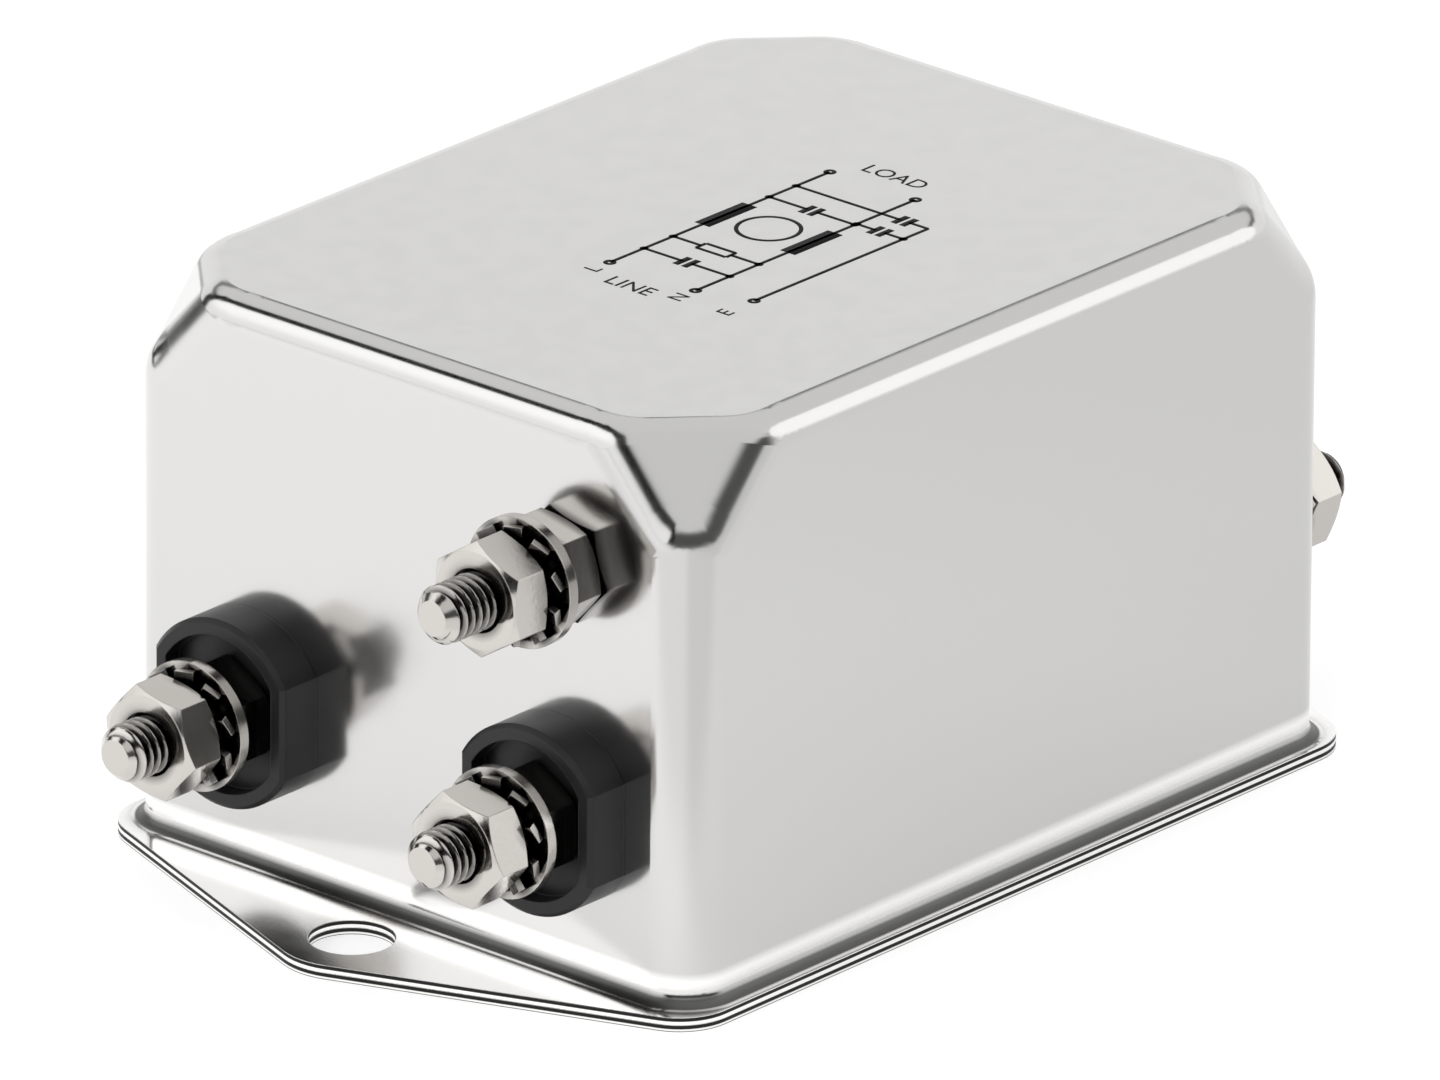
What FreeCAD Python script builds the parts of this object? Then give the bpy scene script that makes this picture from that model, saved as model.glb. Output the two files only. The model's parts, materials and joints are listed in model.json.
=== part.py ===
import FreeCAD, Part
import os
import Sketcher
from FreeCAD import Placement, Rotation, Vector

# Emi line filter: a drawn steel can on a base plate, three M4 stud terminals at each end.
# Frame: X along the can, the line end at -X, Z up, origin under the middle of the base plate.
# The load end is the line end turned half round about Z.

# Driving sizes, in millimetres and degrees

SIZES = {
    # drawn can
    "overall_height": 40.3,
    "body_length": 64.8,
    "body_width": 49.8,
    "can_sheet": 0.5,
    "corner_radius": 3.4,
    "top_radius": 2.05,
    "facet_run": 7.9,
    "facet_drop": 8.8,
    "facet_radius": 4.4,
    "bend_radius": 1.0,
    # flange and base plate
    "base_sheet": 0.5,
    "flange_lip": 1.2,
    "flange_corner_radius": 4.0,
    "tab_angle": 20.8,
    "tab_tip_radius": 5.0,
    "hole_wall_distance": 5.1,
    "hole_diameter": 5.8,
    # terminal places on the end walls
    "terminal_spacing": 27.0,
    "terminal_height": 12.5,
    "earth_height": 29.5,
    # M4 studs
    "thread_diameter": 4.0,
    "thread_pitch_diameter": 3.55,
    "free_thread_gap": 0.3,
    "stud_tip_chamfer": 0.8,
    "stud_head_flats": 7.0,
    "stud_head_height": 2.8,
    "phase_stud_reach": 13.3,
    "earth_stud_reach": 12.4,
    "thread_clearance": 0.05,
    "stud_clearance": 0.1,
    # M4 nuts and washers
    "nut_flats": 7.0,
    "nut_height": 3.2,
    "nut_crown": 6.7,
    "nut_crown_angle": 30.0,
    "nut_countersink": 4.4,
    "washer_diameter": 9.0,
    "washer_thickness": 0.8,
    "washer_clearance": 0.15,
    "tooth_ring_diameter": 6.0,
    "tooth_washer_diameter": 8.2,
    "tooth_sheet": 0.5,
    "tooth_width": 1.3,
    "tooth_tilt": 25.0,
    "tooth_count": 10,
    "phase_nut_turn": 19.0,
    "earth_nut_turn": 3.0,
    "cup_nut_turn": 0.0,
    "wall_nut_turn": 18.0,
    # insulators and solder lugs
    "cup_diameter": 13.2,
    "cup_flats": 11.5,
    "cup_height": 3.3,
    "cup_floor": 2.0,
    "cup_rim": 1.1,
    "cup_rim_edge": 0.3,
    "cup_spigot_diameter": 7.0,
    "spigot_clearance": 0.1,
    "inner_insulator_diameter": 11.0,
    "inner_insulator_thickness": 1.5,
    "lug_diameter": 8.0,
    "lug_sheet": 0.8,
    "lug_reach": 6.0,
    "lug_tail_width": 3.0,
    # choke
    "core_inner_diameter": 15.0,
    "core_outer_diameter": 25.0,
    "core_height": 10.0,
    "core_edge": 0.8,
    "winding_clearance": 0.15,
    "winding_wire": 1.5,
    "winding_turns": 11,
    "separator_thickness": 1.5,
    "base_film": 0.4,
    "film_margin": 1.6,
    # capacitors, resistor and earth lead
    "x_capacitor_end": 1.5,
    "x_capacitor_wall_gap": 3.9,
    "x_capacitor_branch_gap": 3.0,
    "x_capacitor_cover": 2.05,
    "y_capacitor_length": 9.0,
    "y_capacitor_width": 5.0,
    "y_capacitor_pitch": 6.0,
    "y_capacitor_cover": 6.8,
    "pin_diameter": 0.8,
    "branch_place": 14.0,
    "resistor_diameter": 3.6,
    "resistor_length": 9.5,
    "resistor_height": 22.0,
    "resistor_lead_bend": 1.6,
    "lead_diameter": 1.5,
    "lead_bend": 4.0,
}

os.makedirs("parts", exist_ok=True)
doc = FreeCAD.newDocument("LineFilter")
sheet = doc.addObject("Spreadsheet::Sheet", "Sizes")
for row, (alias, number) in enumerate(SIZES.items(), start=1):
    sheet.set(f"A{row}", alias.replace("_", " "))
    sheet.set(f"B{row}", str(number))
    sheet.setAlias(f"B{row}", alias)
doc.recompute()


# Sizes that several pieces share, worked out from the sheet

BODY_END = "Sizes.body_length / 2"
BODY_SIDE = "Sizes.body_width / 2"
FLANGE_TOP = "(Sizes.base_sheet + Sizes.can_sheet)"
PHASE_BORE = "(Sizes.thread_diameter + 2 * Sizes.stud_clearance)"
NUT_BORE = "(Sizes.thread_pitch_diameter + 2 * Sizes.thread_clearance)"
WASHER_BORE = "(Sizes.thread_diameter + 2 * Sizes.washer_clearance)"
TOOTH_RISE = "(Sizes.tooth_width * sin(Sizes.tooth_tilt) + Sizes.tooth_sheet * cos(Sizes.tooth_tilt))"
NUT_STACK = f"(2 * Sizes.nut_height + Sizes.washer_thickness + {TOOTH_RISE})"
FACET_TILT = "atan(sqrt(2) * Sizes.facet_drop / Sizes.facet_run)"
HOLE_PLACE = "(Sizes.body_length / 2 + Sizes.hole_wall_distance)"
FLANGE_SIDE = "(Sizes.body_width / 2 + Sizes.flange_lip)"
TAB_TIP = f"({HOLE_PLACE} + Sizes.tab_tip_radius / cos(Sizes.tab_angle))"
TAB_ROOT = f"({TAB_TIP} - {FLANGE_SIDE} * tan(Sizes.tab_angle))"
WINDING_INSIDE = "(Sizes.core_inner_diameter / 2 - Sizes.winding_clearance)"
WINDING_OUTSIDE = "(Sizes.core_outer_diameter / 2 + Sizes.winding_clearance)"
WINDING_HALF = "(Sizes.core_height / 2 + Sizes.winding_clearance)"
TAIL_OFFSET = "(Sizes.terminal_spacing / 2 - Sizes.lug_reach)"
TAIL_RADIUS = f"({WINDING_OUTSIDE} + Sizes.winding_wire / 2)"
FIRST_TURN = f"asin({TAIL_OFFSET} / {TAIL_RADIUS})"
CHOKE_TOP = f"(Sizes.terminal_height + {WINDING_HALF} + Sizes.winding_wire)"
TAIL_TOP = "(Sizes.terminal_height + Sizes.winding_wire / 2)"
LUG_FACE = "(Sizes.body_length / 2 - Sizes.can_sheet - Sizes.inner_insulator_thickness - Sizes.lug_sheet)"
EARTH_LUG_FACE = "(Sizes.body_length / 2 - Sizes.can_sheet - Sizes.lug_sheet)"
LEAD_HEIGHT = "(Sizes.earth_height - Sizes.lug_reach)"
LEAD_PLACE = "(Sizes.branch_place - Sizes.y_capacitor_pitch)"
ROOF = "(Sizes.overall_height - Sizes.can_sheet)"
X_CAPACITOR_NEAR = "(Sizes.branch_place + Sizes.x_capacitor_branch_gap)"
X_CAPACITOR_FAR = "(Sizes.body_length / 2 - Sizes.can_sheet - Sizes.x_capacitor_wall_gap)"


def value(expression):
    """The number that an expression of the sheet gives now."""
    result = sheet.evalExpression(str(expression))
    return float(getattr(result, "Value", result))


# Drawing helpers

def new_body(label):
    body = doc.addObject("PartDesign::Body", label)
    body.Label = label
    return body


def new_sketch(body, role, name, offset=None, turn=None):
    """A sketch on one of the body's origin planes, moved along the sketch's own axes."""
    sketch = body.newObject("Sketcher::SketchObject", name)
    plane = [item for item in body.Origin.OriginFeatures if item.Role == role][0]
    sketch.AttachmentSupport = [(plane, "")]
    sketch.MapMode = "FlatFace"
    if turn is not None:
        axis, angle = turn
        sketch.AttachmentOffset = Placement(Vector(0, 0, 0), Rotation(axis, value(angle)))
        sketch.setExpression("AttachmentOffset.Rotation.Angle", angle)
    for letter, distance in (offset or {}).items():
        sketch.setExpression(f"AttachmentOffset.Base.{letter}", distance)
    return sketch


def hold_point(sketch, geometry, point, along, across):
    """Fix one point of a sketch at two distances from its origin."""
    for kind, axis, distance in (("DistanceX", -2, along), ("DistanceY", -1, across)):
        if str(distance) == "0":
            sketch.addConstraint(Sketcher.Constraint("PointOnObject", geometry, point, axis))
        else:
            held = Sketcher.Constraint(kind, -1, 1, geometry, point, value(distance))
            index = sketch.addConstraint(held)
            sketch.setExpression(f"Constraints[{index}]", distance)


def draw_polygon(sketch, corners):
    """A closed outline of straight lines through corners given as expressions."""
    points = [Vector(value(along), value(across), 0) for along, across in corners]
    first = sketch.GeometryCount
    for number, point in enumerate(points):
        following = points[(number + 1) % len(points)]
        sketch.addGeometry(Part.LineSegment(point, following))
    for number in range(len(points)):
        after = first + (number + 1) % len(points)
        sketch.addConstraint(Sketcher.Constraint("Coincident", first + number, 2, after, 1))
    for number, (along, across) in enumerate(corners):
        hold_point(sketch, first + number, 1, along, across)


def draw_rectangle(sketch, half_length, half_width, middle=("0", "0")):
    along, across = middle
    draw_polygon(sketch, [
        (f"{along} - ({half_length})", f"{across} - ({half_width})"),
        (f"{along} + ({half_length})", f"{across} - ({half_width})"),
        (f"{along} + ({half_length})", f"{across} + ({half_width})"),
        (f"{along} - ({half_length})", f"{across} + ({half_width})"),
    ])


def draw_circle(sketch, diameter, along="0", across="0"):
    middle = Vector(value(along), value(across), 0)
    index = sketch.addGeometry(Part.Circle(middle, Vector(0, 0, 1), value(diameter) / 2))
    hold_point(sketch, index, 3, along, across)
    width = sketch.addConstraint(Sketcher.Constraint("Diameter", index, value(diameter)))
    sketch.setExpression(f"Constraints[{width}]", diameter)


def draw_path(sketch, corners, radius):
    """An open run of lines joined by tangent arcs, for a wire to follow."""
    points = [Vector(value(along), value(across), 0) for along, across in corners]
    bend = value(radius)
    pieces = []
    start = points[0]
    for before, corner, after in zip(points, points[1:], points[2:]):
        entry = corner + (before - corner).normalize() * bend
        leave = corner + (after - corner).normalize() * bend
        inside = entry + (leave - corner)
        middle = inside + (corner - inside).normalize() * bend
        pieces.append(Part.LineSegment(start, entry))
        pieces.append(Part.Arc(entry, middle, leave))
        start = leave
    pieces.append(Part.LineSegment(start, points[-1]))
    for piece in pieces:
        sketch.addGeometry(piece)


def pad(body, sketch, length, midplane=False, reverse=False):
    feature = body.newObject("PartDesign::Pad", sketch.Name + "Pad")
    feature.Profile = sketch
    feature.Midplane = midplane
    feature.Reversed = reverse
    feature.setExpression("Length", length)
    sketch.Visibility = False
    doc.recompute()
    return feature


def pocket(body, sketch, length=None, midplane=False, reverse=False):
    feature = body.newObject("PartDesign::Pocket", sketch.Name + "Pocket")
    feature.Profile = sketch
    feature.Midplane = midplane
    feature.Reversed = reverse
    if length is None:
        feature.Type = "ThroughAll"
    else:
        feature.setExpression("Length", length)
    doc.recompute()
    return feature


def turned(body, kind, sketch):
    """A Revolution or Groove of a sketch about its vertical axis."""
    feature = body.newObject(f"PartDesign::{kind}", sketch.Name + kind)
    feature.Profile = sketch
    feature.ReferenceAxis = (sketch, ["V_Axis"])
    feature.Angle = 360
    doc.recompute()
    return feature


def round_edges(body, radius, wanted, kind="Fillet"):
    """Fillet or chamfer each edge of the body that the test picks."""
    base = body.Tip
    names = [f"Edge{number}" for number, edge in enumerate(base.Shape.Edges, start=1) if wanted(edge)]
    feature = body.newObject(f"PartDesign::{kind}", base.Name + kind)
    feature.Base = (base, names)
    feature.setExpression("Radius" if kind == "Fillet" else "Size", radius)
    doc.recompute()
    return feature


def ends(edge):
    """The two end points of an edge."""
    return [edge.valueAt(edge.FirstParameter), edge.valueAt(edge.LastParameter)]


def upright(edge):
    """Whether an edge runs straight up."""
    low, high = ends(edge)
    return abs(low.x - high.x) + abs(low.y - high.y) < 1e-6 and abs(low.z - high.z) > 1e-6


def level(edge, height):
    """Whether both ends of an edge lie at the height."""
    return all(abs(point.z - height) < 1e-6 for point in ends(edge))


# Drawn can

def build_form(body, inset, floor):
    """The can's block with its four sloping corner facets and rounded edges, drawn in by inset."""
    block = new_sketch(body, "XY_Plane", body.Name + "Block", offset={"z": floor})
    draw_rectangle(block, f"{BODY_END} - {inset}", f"{BODY_SIDE} - {inset}")
    roof = f"Sizes.overall_height - {inset}"
    pad(body, block, f"{roof} - ({floor})")
    sunk = f"{inset} * sin({FACET_TILT}) / sqrt(2)"
    for name, side, across in (("A", -1, -1), ("B", 1, -1), ("C", 1, 1), ("D", -1, 1)):
        facet = new_sketch(body, "XY_Plane", body.Name + "Facet" + name,
                           turn=(Vector(-across, side, 0), FACET_TILT),
                           offset={
                               "x": f"{side} * ({BODY_END} - Sizes.facet_run - {sunk})",
                               "y": f"{across} * ({BODY_SIDE} - {sunk})",
                               "z": f"Sizes.overall_height - {inset} * cos({FACET_TILT})",
                           })
        reach = "Sizes.facet_run + Sizes.facet_drop"
        draw_rectangle(facet, reach, reach)
        pocket(body, facet, "Sizes.facet_run + Sizes.facet_drop", reverse=True)
    round_edges(body, f"Sizes.corner_radius - {inset}", upright)
    facet_foot = value("Sizes.overall_height - Sizes.facet_drop - Sizes.corner_radius")

    def sloping(edge):
        low, high = sorted(point.z for point in ends(edge))
        return not upright(edge) and low > facet_foot and high - low > 1e-6

    def crowned(edge):
        return level(edge, value(roof))

    round_edges(body, f"Sizes.facet_radius - {inset}", sloping)
    round_edges(body, f"Sizes.top_radius - {inset}", crowned)


def draw_flange(body, name, floor):
    """The flange outline: two long straight sides and a blunt pointed tab at each end."""
    flange = new_sketch(body, "XY_Plane", name, offset={"z": floor})
    draw_polygon(flange, [
        (f"-{TAB_ROOT}", f"-{FLANGE_SIDE}"), (TAB_ROOT, f"-{FLANGE_SIDE}"), (TAB_TIP, "0"),
        (TAB_ROOT, FLANGE_SIDE), (f"-{TAB_ROOT}", FLANGE_SIDE), (f"-{TAB_TIP}", "0"),
    ])
    return flange


def round_flange(body):
    """Round the tab tips about the mounting holes, and the four corners beside them."""
    tip = value(TAB_TIP)
    root = value(TAB_ROOT)
    side = value(FLANGE_SIDE)

    def at_tip(edge):
        return upright(edge) and abs(abs(ends(edge)[0].x) - tip) < 1e-6

    def at_root(edge):
        point = ends(edge)[0]
        return upright(edge) and abs(abs(point.x) - root) < 1e-6 and abs(abs(point.y) - side) < 1e-6

    round_edges(body, "Sizes.tab_tip_radius", at_tip)
    round_edges(body, "Sizes.flange_corner_radius", at_root)


def cut_mounting_holes(body):
    """One hole through each tab."""
    holes = new_sketch(body, "XY_Plane", body.Name + "Holes")
    draw_circle(holes, "Sizes.hole_diameter", HOLE_PLACE)
    draw_circle(holes, "Sizes.hole_diameter", f"-{HOLE_PLACE}")
    pocket(body, holes, midplane=True)


def cut_terminal_holes(body):
    """Four holes for the insulators through both end walls, and one earth hole in each."""
    spigot = "Sizes.cup_spigot_diameter + 2 * Sizes.spigot_clearance"
    across = "Sizes.terminal_spacing / 2"
    phase = new_sketch(body, "YZ_Plane", "PhaseHoles")
    draw_circle(phase, spigot, across, "Sizes.terminal_height")
    draw_circle(phase, spigot, f"-{across}", "Sizes.terminal_height")
    pocket(body, phase, midplane=True)
    for name, side, reverse in (("LineEarthHole", "-", False), ("LoadEarthHole", "", True)):
        earth = new_sketch(body, "YZ_Plane", name)
        draw_circle(earth, PHASE_BORE, f"{side}{across}", "Sizes.earth_height")
        pocket(body, earth, reverse=reverse)


def build_can():
    body = new_body("drawn_can")
    build_form(body, "0", FLANGE_TOP)
    pad(body, draw_flange(body, "Flange", "Sizes.base_sheet"), "Sizes.can_sheet")
    round_flange(body)
    foot = value(FLANGE_TOP)

    def at_foot(edge):
        return level(edge, foot) and all(abs(point.x) < value(BODY_END) + 1e-6
                                         and abs(point.y) < value(BODY_SIDE) + 1e-6 for point in ends(edge))

    round_edges(body, "Sizes.bend_radius", at_foot)
    cavity = new_body("can_cavity")
    build_form(cavity, "Sizes.can_sheet", "Sizes.base_sheet")
    hollow = body.newObject("PartDesign::Boolean", "CanHollow")
    hollow.Type = "Cut"
    hollow.Group = [cavity]
    body.Tip = hollow
    doc.recompute()

    def at_mouth(edge):
        return level(edge, value("Sizes.base_sheet")) and all(
            abs(point.x) < value(BODY_END) and abs(point.y) < value(BODY_SIDE) for point in ends(edge))

    round_edges(body, "Sizes.bend_radius + Sizes.can_sheet", at_mouth)
    cut_mounting_holes(body)
    cut_terminal_holes(body)
    return body


def build_base_plate():
    body = new_body("base_plate")
    pad(body, draw_flange(body, "Plate", "0"), "Sizes.base_sheet")
    round_flange(body)
    cut_mounting_holes(body)
    return body


def build_base_film():
    """The insulating film that lies on the base plate under the choke."""
    body = new_body("base_insulating_film")
    film = new_sketch(body, "XY_Plane", "Film", offset={"z": "Sizes.base_sheet"})
    margin = "Sizes.can_sheet - Sizes.film_margin"
    draw_rectangle(film, f"{BODY_END} - {margin}", f"{BODY_SIDE} - {margin}")
    pad(body, film, "Sizes.base_film")
    round_edges(body, "Sizes.corner_radius - Sizes.can_sheet", upright)
    return body


# Pieces of one terminal, each drawn along its own Z from the wall outwards

def hexagon(flats):
    corner = f"{flats} / 2 / cos(30)"
    return [(f"{corner} * cos({60 * step})", f"{corner} * sin({60 * step})" if step % 3 else "0")
            for step in range(6)]


def crown_cut(flats, crown, height):
    """Outlines that turn away the corners of a hexagon at both its ends."""
    outer = f"({flats} * 0.6)"
    drop = f"({outer} - {crown} / 2) * tan(Sizes.nut_crown_angle)"
    return [
        [(f"{crown} / 2", height), (outer, height), (outer, f"{height} - {drop}")],
        [(f"{crown} / 2", "0"), (outer, "0"), (outer, drop)],
    ]


def countersink_cut(bore, mouth, height):
    """Outlines that open both ends of a bore at 45 degrees."""
    depth = f"({mouth} - {bore}) / 2"
    return [
        [("0", "0"), (f"{mouth} / 2", "0"), (f"{bore} / 2", depth), ("0", depth)],
        [("0", height), (f"{mouth} / 2", height), (f"{bore} / 2", f"{height} - {depth}"),
         ("0", f"{height} - {depth}")],
    ]


def build_nut():
    """A hexagon nut, crowned and countersunk on both faces."""
    body = new_body("nut_pattern")
    outline = new_sketch(body, "XY_Plane", "NutHexagon")
    draw_polygon(outline, hexagon("Sizes.nut_flats"))
    pad(body, outline, "Sizes.nut_height")
    crown = new_sketch(body, "XZ_Plane", "NutCrown")
    for cut in crown_cut("Sizes.nut_flats", "Sizes.nut_crown", "Sizes.nut_height"):
        draw_polygon(crown, cut)
    turned(body, "Groove", crown)
    countersink = new_sketch(body, "XZ_Plane", "NutCountersink")
    for cut in countersink_cut(NUT_BORE, "Sizes.nut_countersink", "Sizes.nut_height"):
        draw_polygon(countersink, cut)
    turned(body, "Groove", countersink)
    bore = new_sketch(body, "XY_Plane", "NutBore")
    draw_circle(bore, NUT_BORE)
    pocket(body, bore, midplane=True)
    return body


def build_ring(label, outer, bore, thickness):
    body = new_body(label)
    ring = new_sketch(body, "XY_Plane", body.Name + "Ring")
    draw_circle(ring, outer)
    draw_circle(ring, bore)
    pad(body, ring, thickness)
    return body


def build_tooth_washer():
    """A ring with twisted teeth that stand out round its rim."""
    body = new_body("tooth_washer_pattern")
    middle = f"{TOOTH_RISE} / 2"
    ring = new_sketch(body, "XY_Plane", "ToothRing", offset={"z": f"{middle} - Sizes.tooth_sheet / 2"})
    draw_circle(ring, "Sizes.tooth_ring_diameter")
    draw_circle(ring, WASHER_BORE)
    pad(body, ring, "Sizes.tooth_sheet")
    root = f"(Sizes.tooth_ring_diameter + {WASHER_BORE}) / 4"
    tooth = new_sketch(body, "YZ_Plane", "Tooth", offset={"z": root})
    long_y = "Sizes.tooth_width / 2 * cos(Sizes.tooth_tilt)"
    long_z = "Sizes.tooth_width / 2 * sin(Sizes.tooth_tilt)"
    thick_y = "Sizes.tooth_sheet / 2 * sin(Sizes.tooth_tilt)"
    thick_z = "Sizes.tooth_sheet / 2 * cos(Sizes.tooth_tilt)"
    draw_polygon(tooth, [
        (f"-({long_y}) + {thick_y}", f"{middle} - ({long_z}) - {thick_z}"),
        (f"{long_y} + {thick_y}", f"{middle} + {long_z} - {thick_z}"),
        (f"{long_y} - {thick_y}", f"{middle} + {long_z} + {thick_z}"),
        (f"-({long_y}) - {thick_y}", f"{middle} - ({long_z}) + {thick_z}"),
    ])
    one_tooth = pad(body, tooth, f"Sizes.tooth_washer_diameter / 2 - {root}")
    teeth = body.newObject("PartDesign::PolarPattern", "Teeth")
    teeth.Originals = [one_tooth]
    teeth.Axis = (ring, ["N_Axis"])
    teeth.Angle = 360
    teeth.setExpression("Occurrences", "Sizes.tooth_count")
    body.Tip = teeth
    doc.recompute()
    return body


def build_lug():
    """A flat ring tag with a tail that the wire is soldered to."""
    body = new_body("lug_pattern")
    ring = new_sketch(body, "XY_Plane", "LugRing")
    draw_circle(ring, "Sizes.lug_diameter")
    pad(body, ring, "Sizes.lug_sheet")
    tail = new_sketch(body, "XY_Plane", "LugTail")
    half_tail = "Sizes.lug_tail_width / 2"
    draw_polygon(tail, [
        ("0", f"-{half_tail}"), (f"Sizes.lug_reach + {half_tail}", f"-{half_tail}"),
        (f"Sizes.lug_reach + {half_tail}", half_tail), ("0", half_tail),
    ])
    pad(body, tail, "Sizes.lug_sheet")
    bore = new_sketch(body, "XY_Plane", "LugBore")
    draw_circle(bore, WASHER_BORE)
    pocket(body, bore, midplane=True)
    return body


def build_stud(label, seat, stack_start, reach):
    """An M4 stud whose hexagon head bears on the lug at depth seat behind the wall face.

    The thread is a plain cylinder: at its pitch diameter where the nuts hold it, and at its
    major diameter along the free end past the outer nut.
    """
    body = new_body(label)
    head = new_sketch(body, "XY_Plane", label + "Head", offset={"z": f"-({seat})"})
    draw_polygon(head, hexagon("Sizes.stud_head_flats"))
    pad(body, head, "Sizes.stud_head_height", reverse=True)
    shank = new_sketch(body, "XZ_Plane", label + "Shank")
    engaged = "Sizes.thread_pitch_diameter / 2"
    radius = "Sizes.thread_diameter / 2"
    free = f"{stack_start} + {NUT_STACK} + Sizes.free_thread_gap"
    draw_polygon(shank, [
        ("0", f"-({seat})"), (engaged, f"-({seat})"), (engaged, free), (radius, free),
        (radius, f"{reach} - Sizes.stud_tip_chamfer"),
        (f"{radius} - Sizes.stud_tip_chamfer", reach), ("0", reach),
    ])
    turned(body, "Revolution", shank)
    return body


def draw_flatted(sketch, inset):
    """A circle with two flats, drawn in by inset: the outline of the insulator cup."""
    radius = f"(Sizes.cup_diameter / 2 - {inset})"
    flat = f"(Sizes.cup_flats / 2 - {inset})"
    side, end = value(flat), value(radius)
    rise = value(f"sqrt({radius} ^ 2 - {flat} ^ 2)")
    sketch.addGeometry([
        Part.LineSegment(Vector(rise, -side, 0), Vector(-rise, -side, 0)),
        Part.Arc(Vector(-rise, -side, 0), Vector(-end, 0, 0), Vector(-rise, side, 0)),
        Part.LineSegment(Vector(-rise, side, 0), Vector(rise, side, 0)),
        Part.Arc(Vector(rise, side, 0), Vector(end, 0, 0), Vector(rise, -side, 0)),
    ])
    for line, distance in ((0, f"-{flat}"), (2, flat)):
        sketch.addConstraint(Sketcher.Constraint("Horizontal", line))
        held = sketch.addConstraint(Sketcher.Constraint("DistanceY", -1, 1, line, 1, value(distance)))
        sketch.setExpression(f"Constraints[{held}]", distance)
    for arc in (1, 3):
        sketch.addConstraint(Sketcher.Constraint("Coincident", arc, 3, -1, 1))
        held = sketch.addConstraint(Sketcher.Constraint("Radius", arc, end))
        sketch.setExpression(f"Constraints[{held}]", radius)
        for point in (1, 2):
            corner = sketch.getPoint(arc, point)
            line = 0 if corner.y < 0 else 2
            start = (sketch.getPoint(line, 1) - corner).Length < 1e-6
            sketch.addConstraint(Sketcher.Constraint("Coincident", arc, point, line, 1 if start else 2))


def build_cup(label):
    """The moulded cup: a flatted round body with a raised rim and a spigot through the wall."""
    body = new_body(label)
    outside = new_sketch(body, "XY_Plane", label + "Outside")
    draw_flatted(outside, "0")
    pad(body, outside, "Sizes.cup_height")
    rim = value("Sizes.cup_height")
    round_edges(body, "Sizes.cup_rim_edge", lambda edge: level(edge, rim), "Chamfer")
    recess = new_sketch(body, "XY_Plane", label + "Recess", offset={"z": "Sizes.cup_height"})
    draw_flatted(recess, "Sizes.cup_rim")
    pocket(body, recess, "Sizes.cup_height - Sizes.cup_floor")
    spigot = new_sketch(body, "XY_Plane", label + "Spigot")
    draw_circle(spigot, "Sizes.cup_spigot_diameter")
    pad(body, spigot, "Sizes.can_sheet", reverse=True)
    bore = new_sketch(body, "XY_Plane", label + "Bore")
    draw_circle(bore, PHASE_BORE)
    pocket(body, bore, midplane=True)
    return body


# Terminals: where each stands on its end wall, in the frame of the line end

HALF_SPACING = "Sizes.terminal_spacing / 2"
PHASE_SEAT = "Sizes.can_sheet + Sizes.inner_insulator_thickness + Sizes.lug_sheet"
EARTH_SEAT = "Sizes.can_sheet + Sizes.lug_sheet"

TERMINALS = [
    # name, load end, sideways place, height, phase terminal, way of the lug's tail
    ("line", False, HALF_SPACING, "Sizes.terminal_height", True, -90),
    ("neutral", False, f"-{HALF_SPACING}", "Sizes.terminal_height", True, 90),
    ("line_side_earth", False, f"-{HALF_SPACING}", "Sizes.earth_height", False, 180),
    ("load_line", True, f"-{HALF_SPACING}", "Sizes.terminal_height", True, 90),
    ("load_neutral", True, HALF_SPACING, "Sizes.terminal_height", True, -90),
    ("load_side_earth", True, f"-{HALF_SPACING}", "Sizes.earth_height", False, 180),
]


def place(target, terminal, outward, turn="0"):
    """Stand a piece on its end wall, outward from the wall's outer face and turned on its axis."""
    _, load_end, sideways, height, _, _ = terminal
    sign = "" if load_end else "-"
    half_turn = Rotation(Vector(0, 0, 1), 180 if load_end else 0)
    rotation = half_turn * Rotation(Vector(0, 1, 0), -90) * Rotation(Vector(0, 0, 1), value(turn))
    target.Placement = Placement(Vector(0, 0, 0), rotation)
    target.setExpression("Placement.Base.x", f"{sign}({BODY_END} + {outward})")
    target.setExpression("Placement.Base.y", f"-({sideways})" if load_end else sideways)
    target.setExpression("Placement.Base.z", height)


def build_group(label, pattern, seats):
    """Copies of one pattern piece, each on its own terminal, as one node."""
    copies = []
    for number, (terminal, outward, turn) in enumerate(seats, start=1):
        copy = doc.addObject("App::Link", f"{label}_{number}")
        copy.LinkedObject = pattern
        copy.LinkTransform = False
        place(copy, terminal, outward, turn)
        copies.append(copy)
    group = doc.addObject("Part::Compound", label)
    group.Label = label
    group.Links = copies
    return group


def stack_outward(terminal, clamp_nuts, washers, tooth_washers, outer_nuts):
    """Where the nuts and washers of one terminal sit, counted outwards from the wall."""
    phase = terminal[4]
    seat = "Sizes.cup_floor" if phase else "0"
    washer = f"{seat} + Sizes.nut_height"
    tooth = f"{washer} + Sizes.washer_thickness"
    outer = f"{tooth} + {TOOTH_RISE}"
    clamp_nuts.append((terminal, seat, "Sizes.cup_nut_turn" if phase else "Sizes.wall_nut_turn"))
    washers.append((terminal, washer, "0"))
    tooth_washers.append((terminal, tooth, "0"))
    outer_nuts.append((terminal, outer, "Sizes.phase_nut_turn" if phase else "Sizes.earth_nut_turn"))


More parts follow.
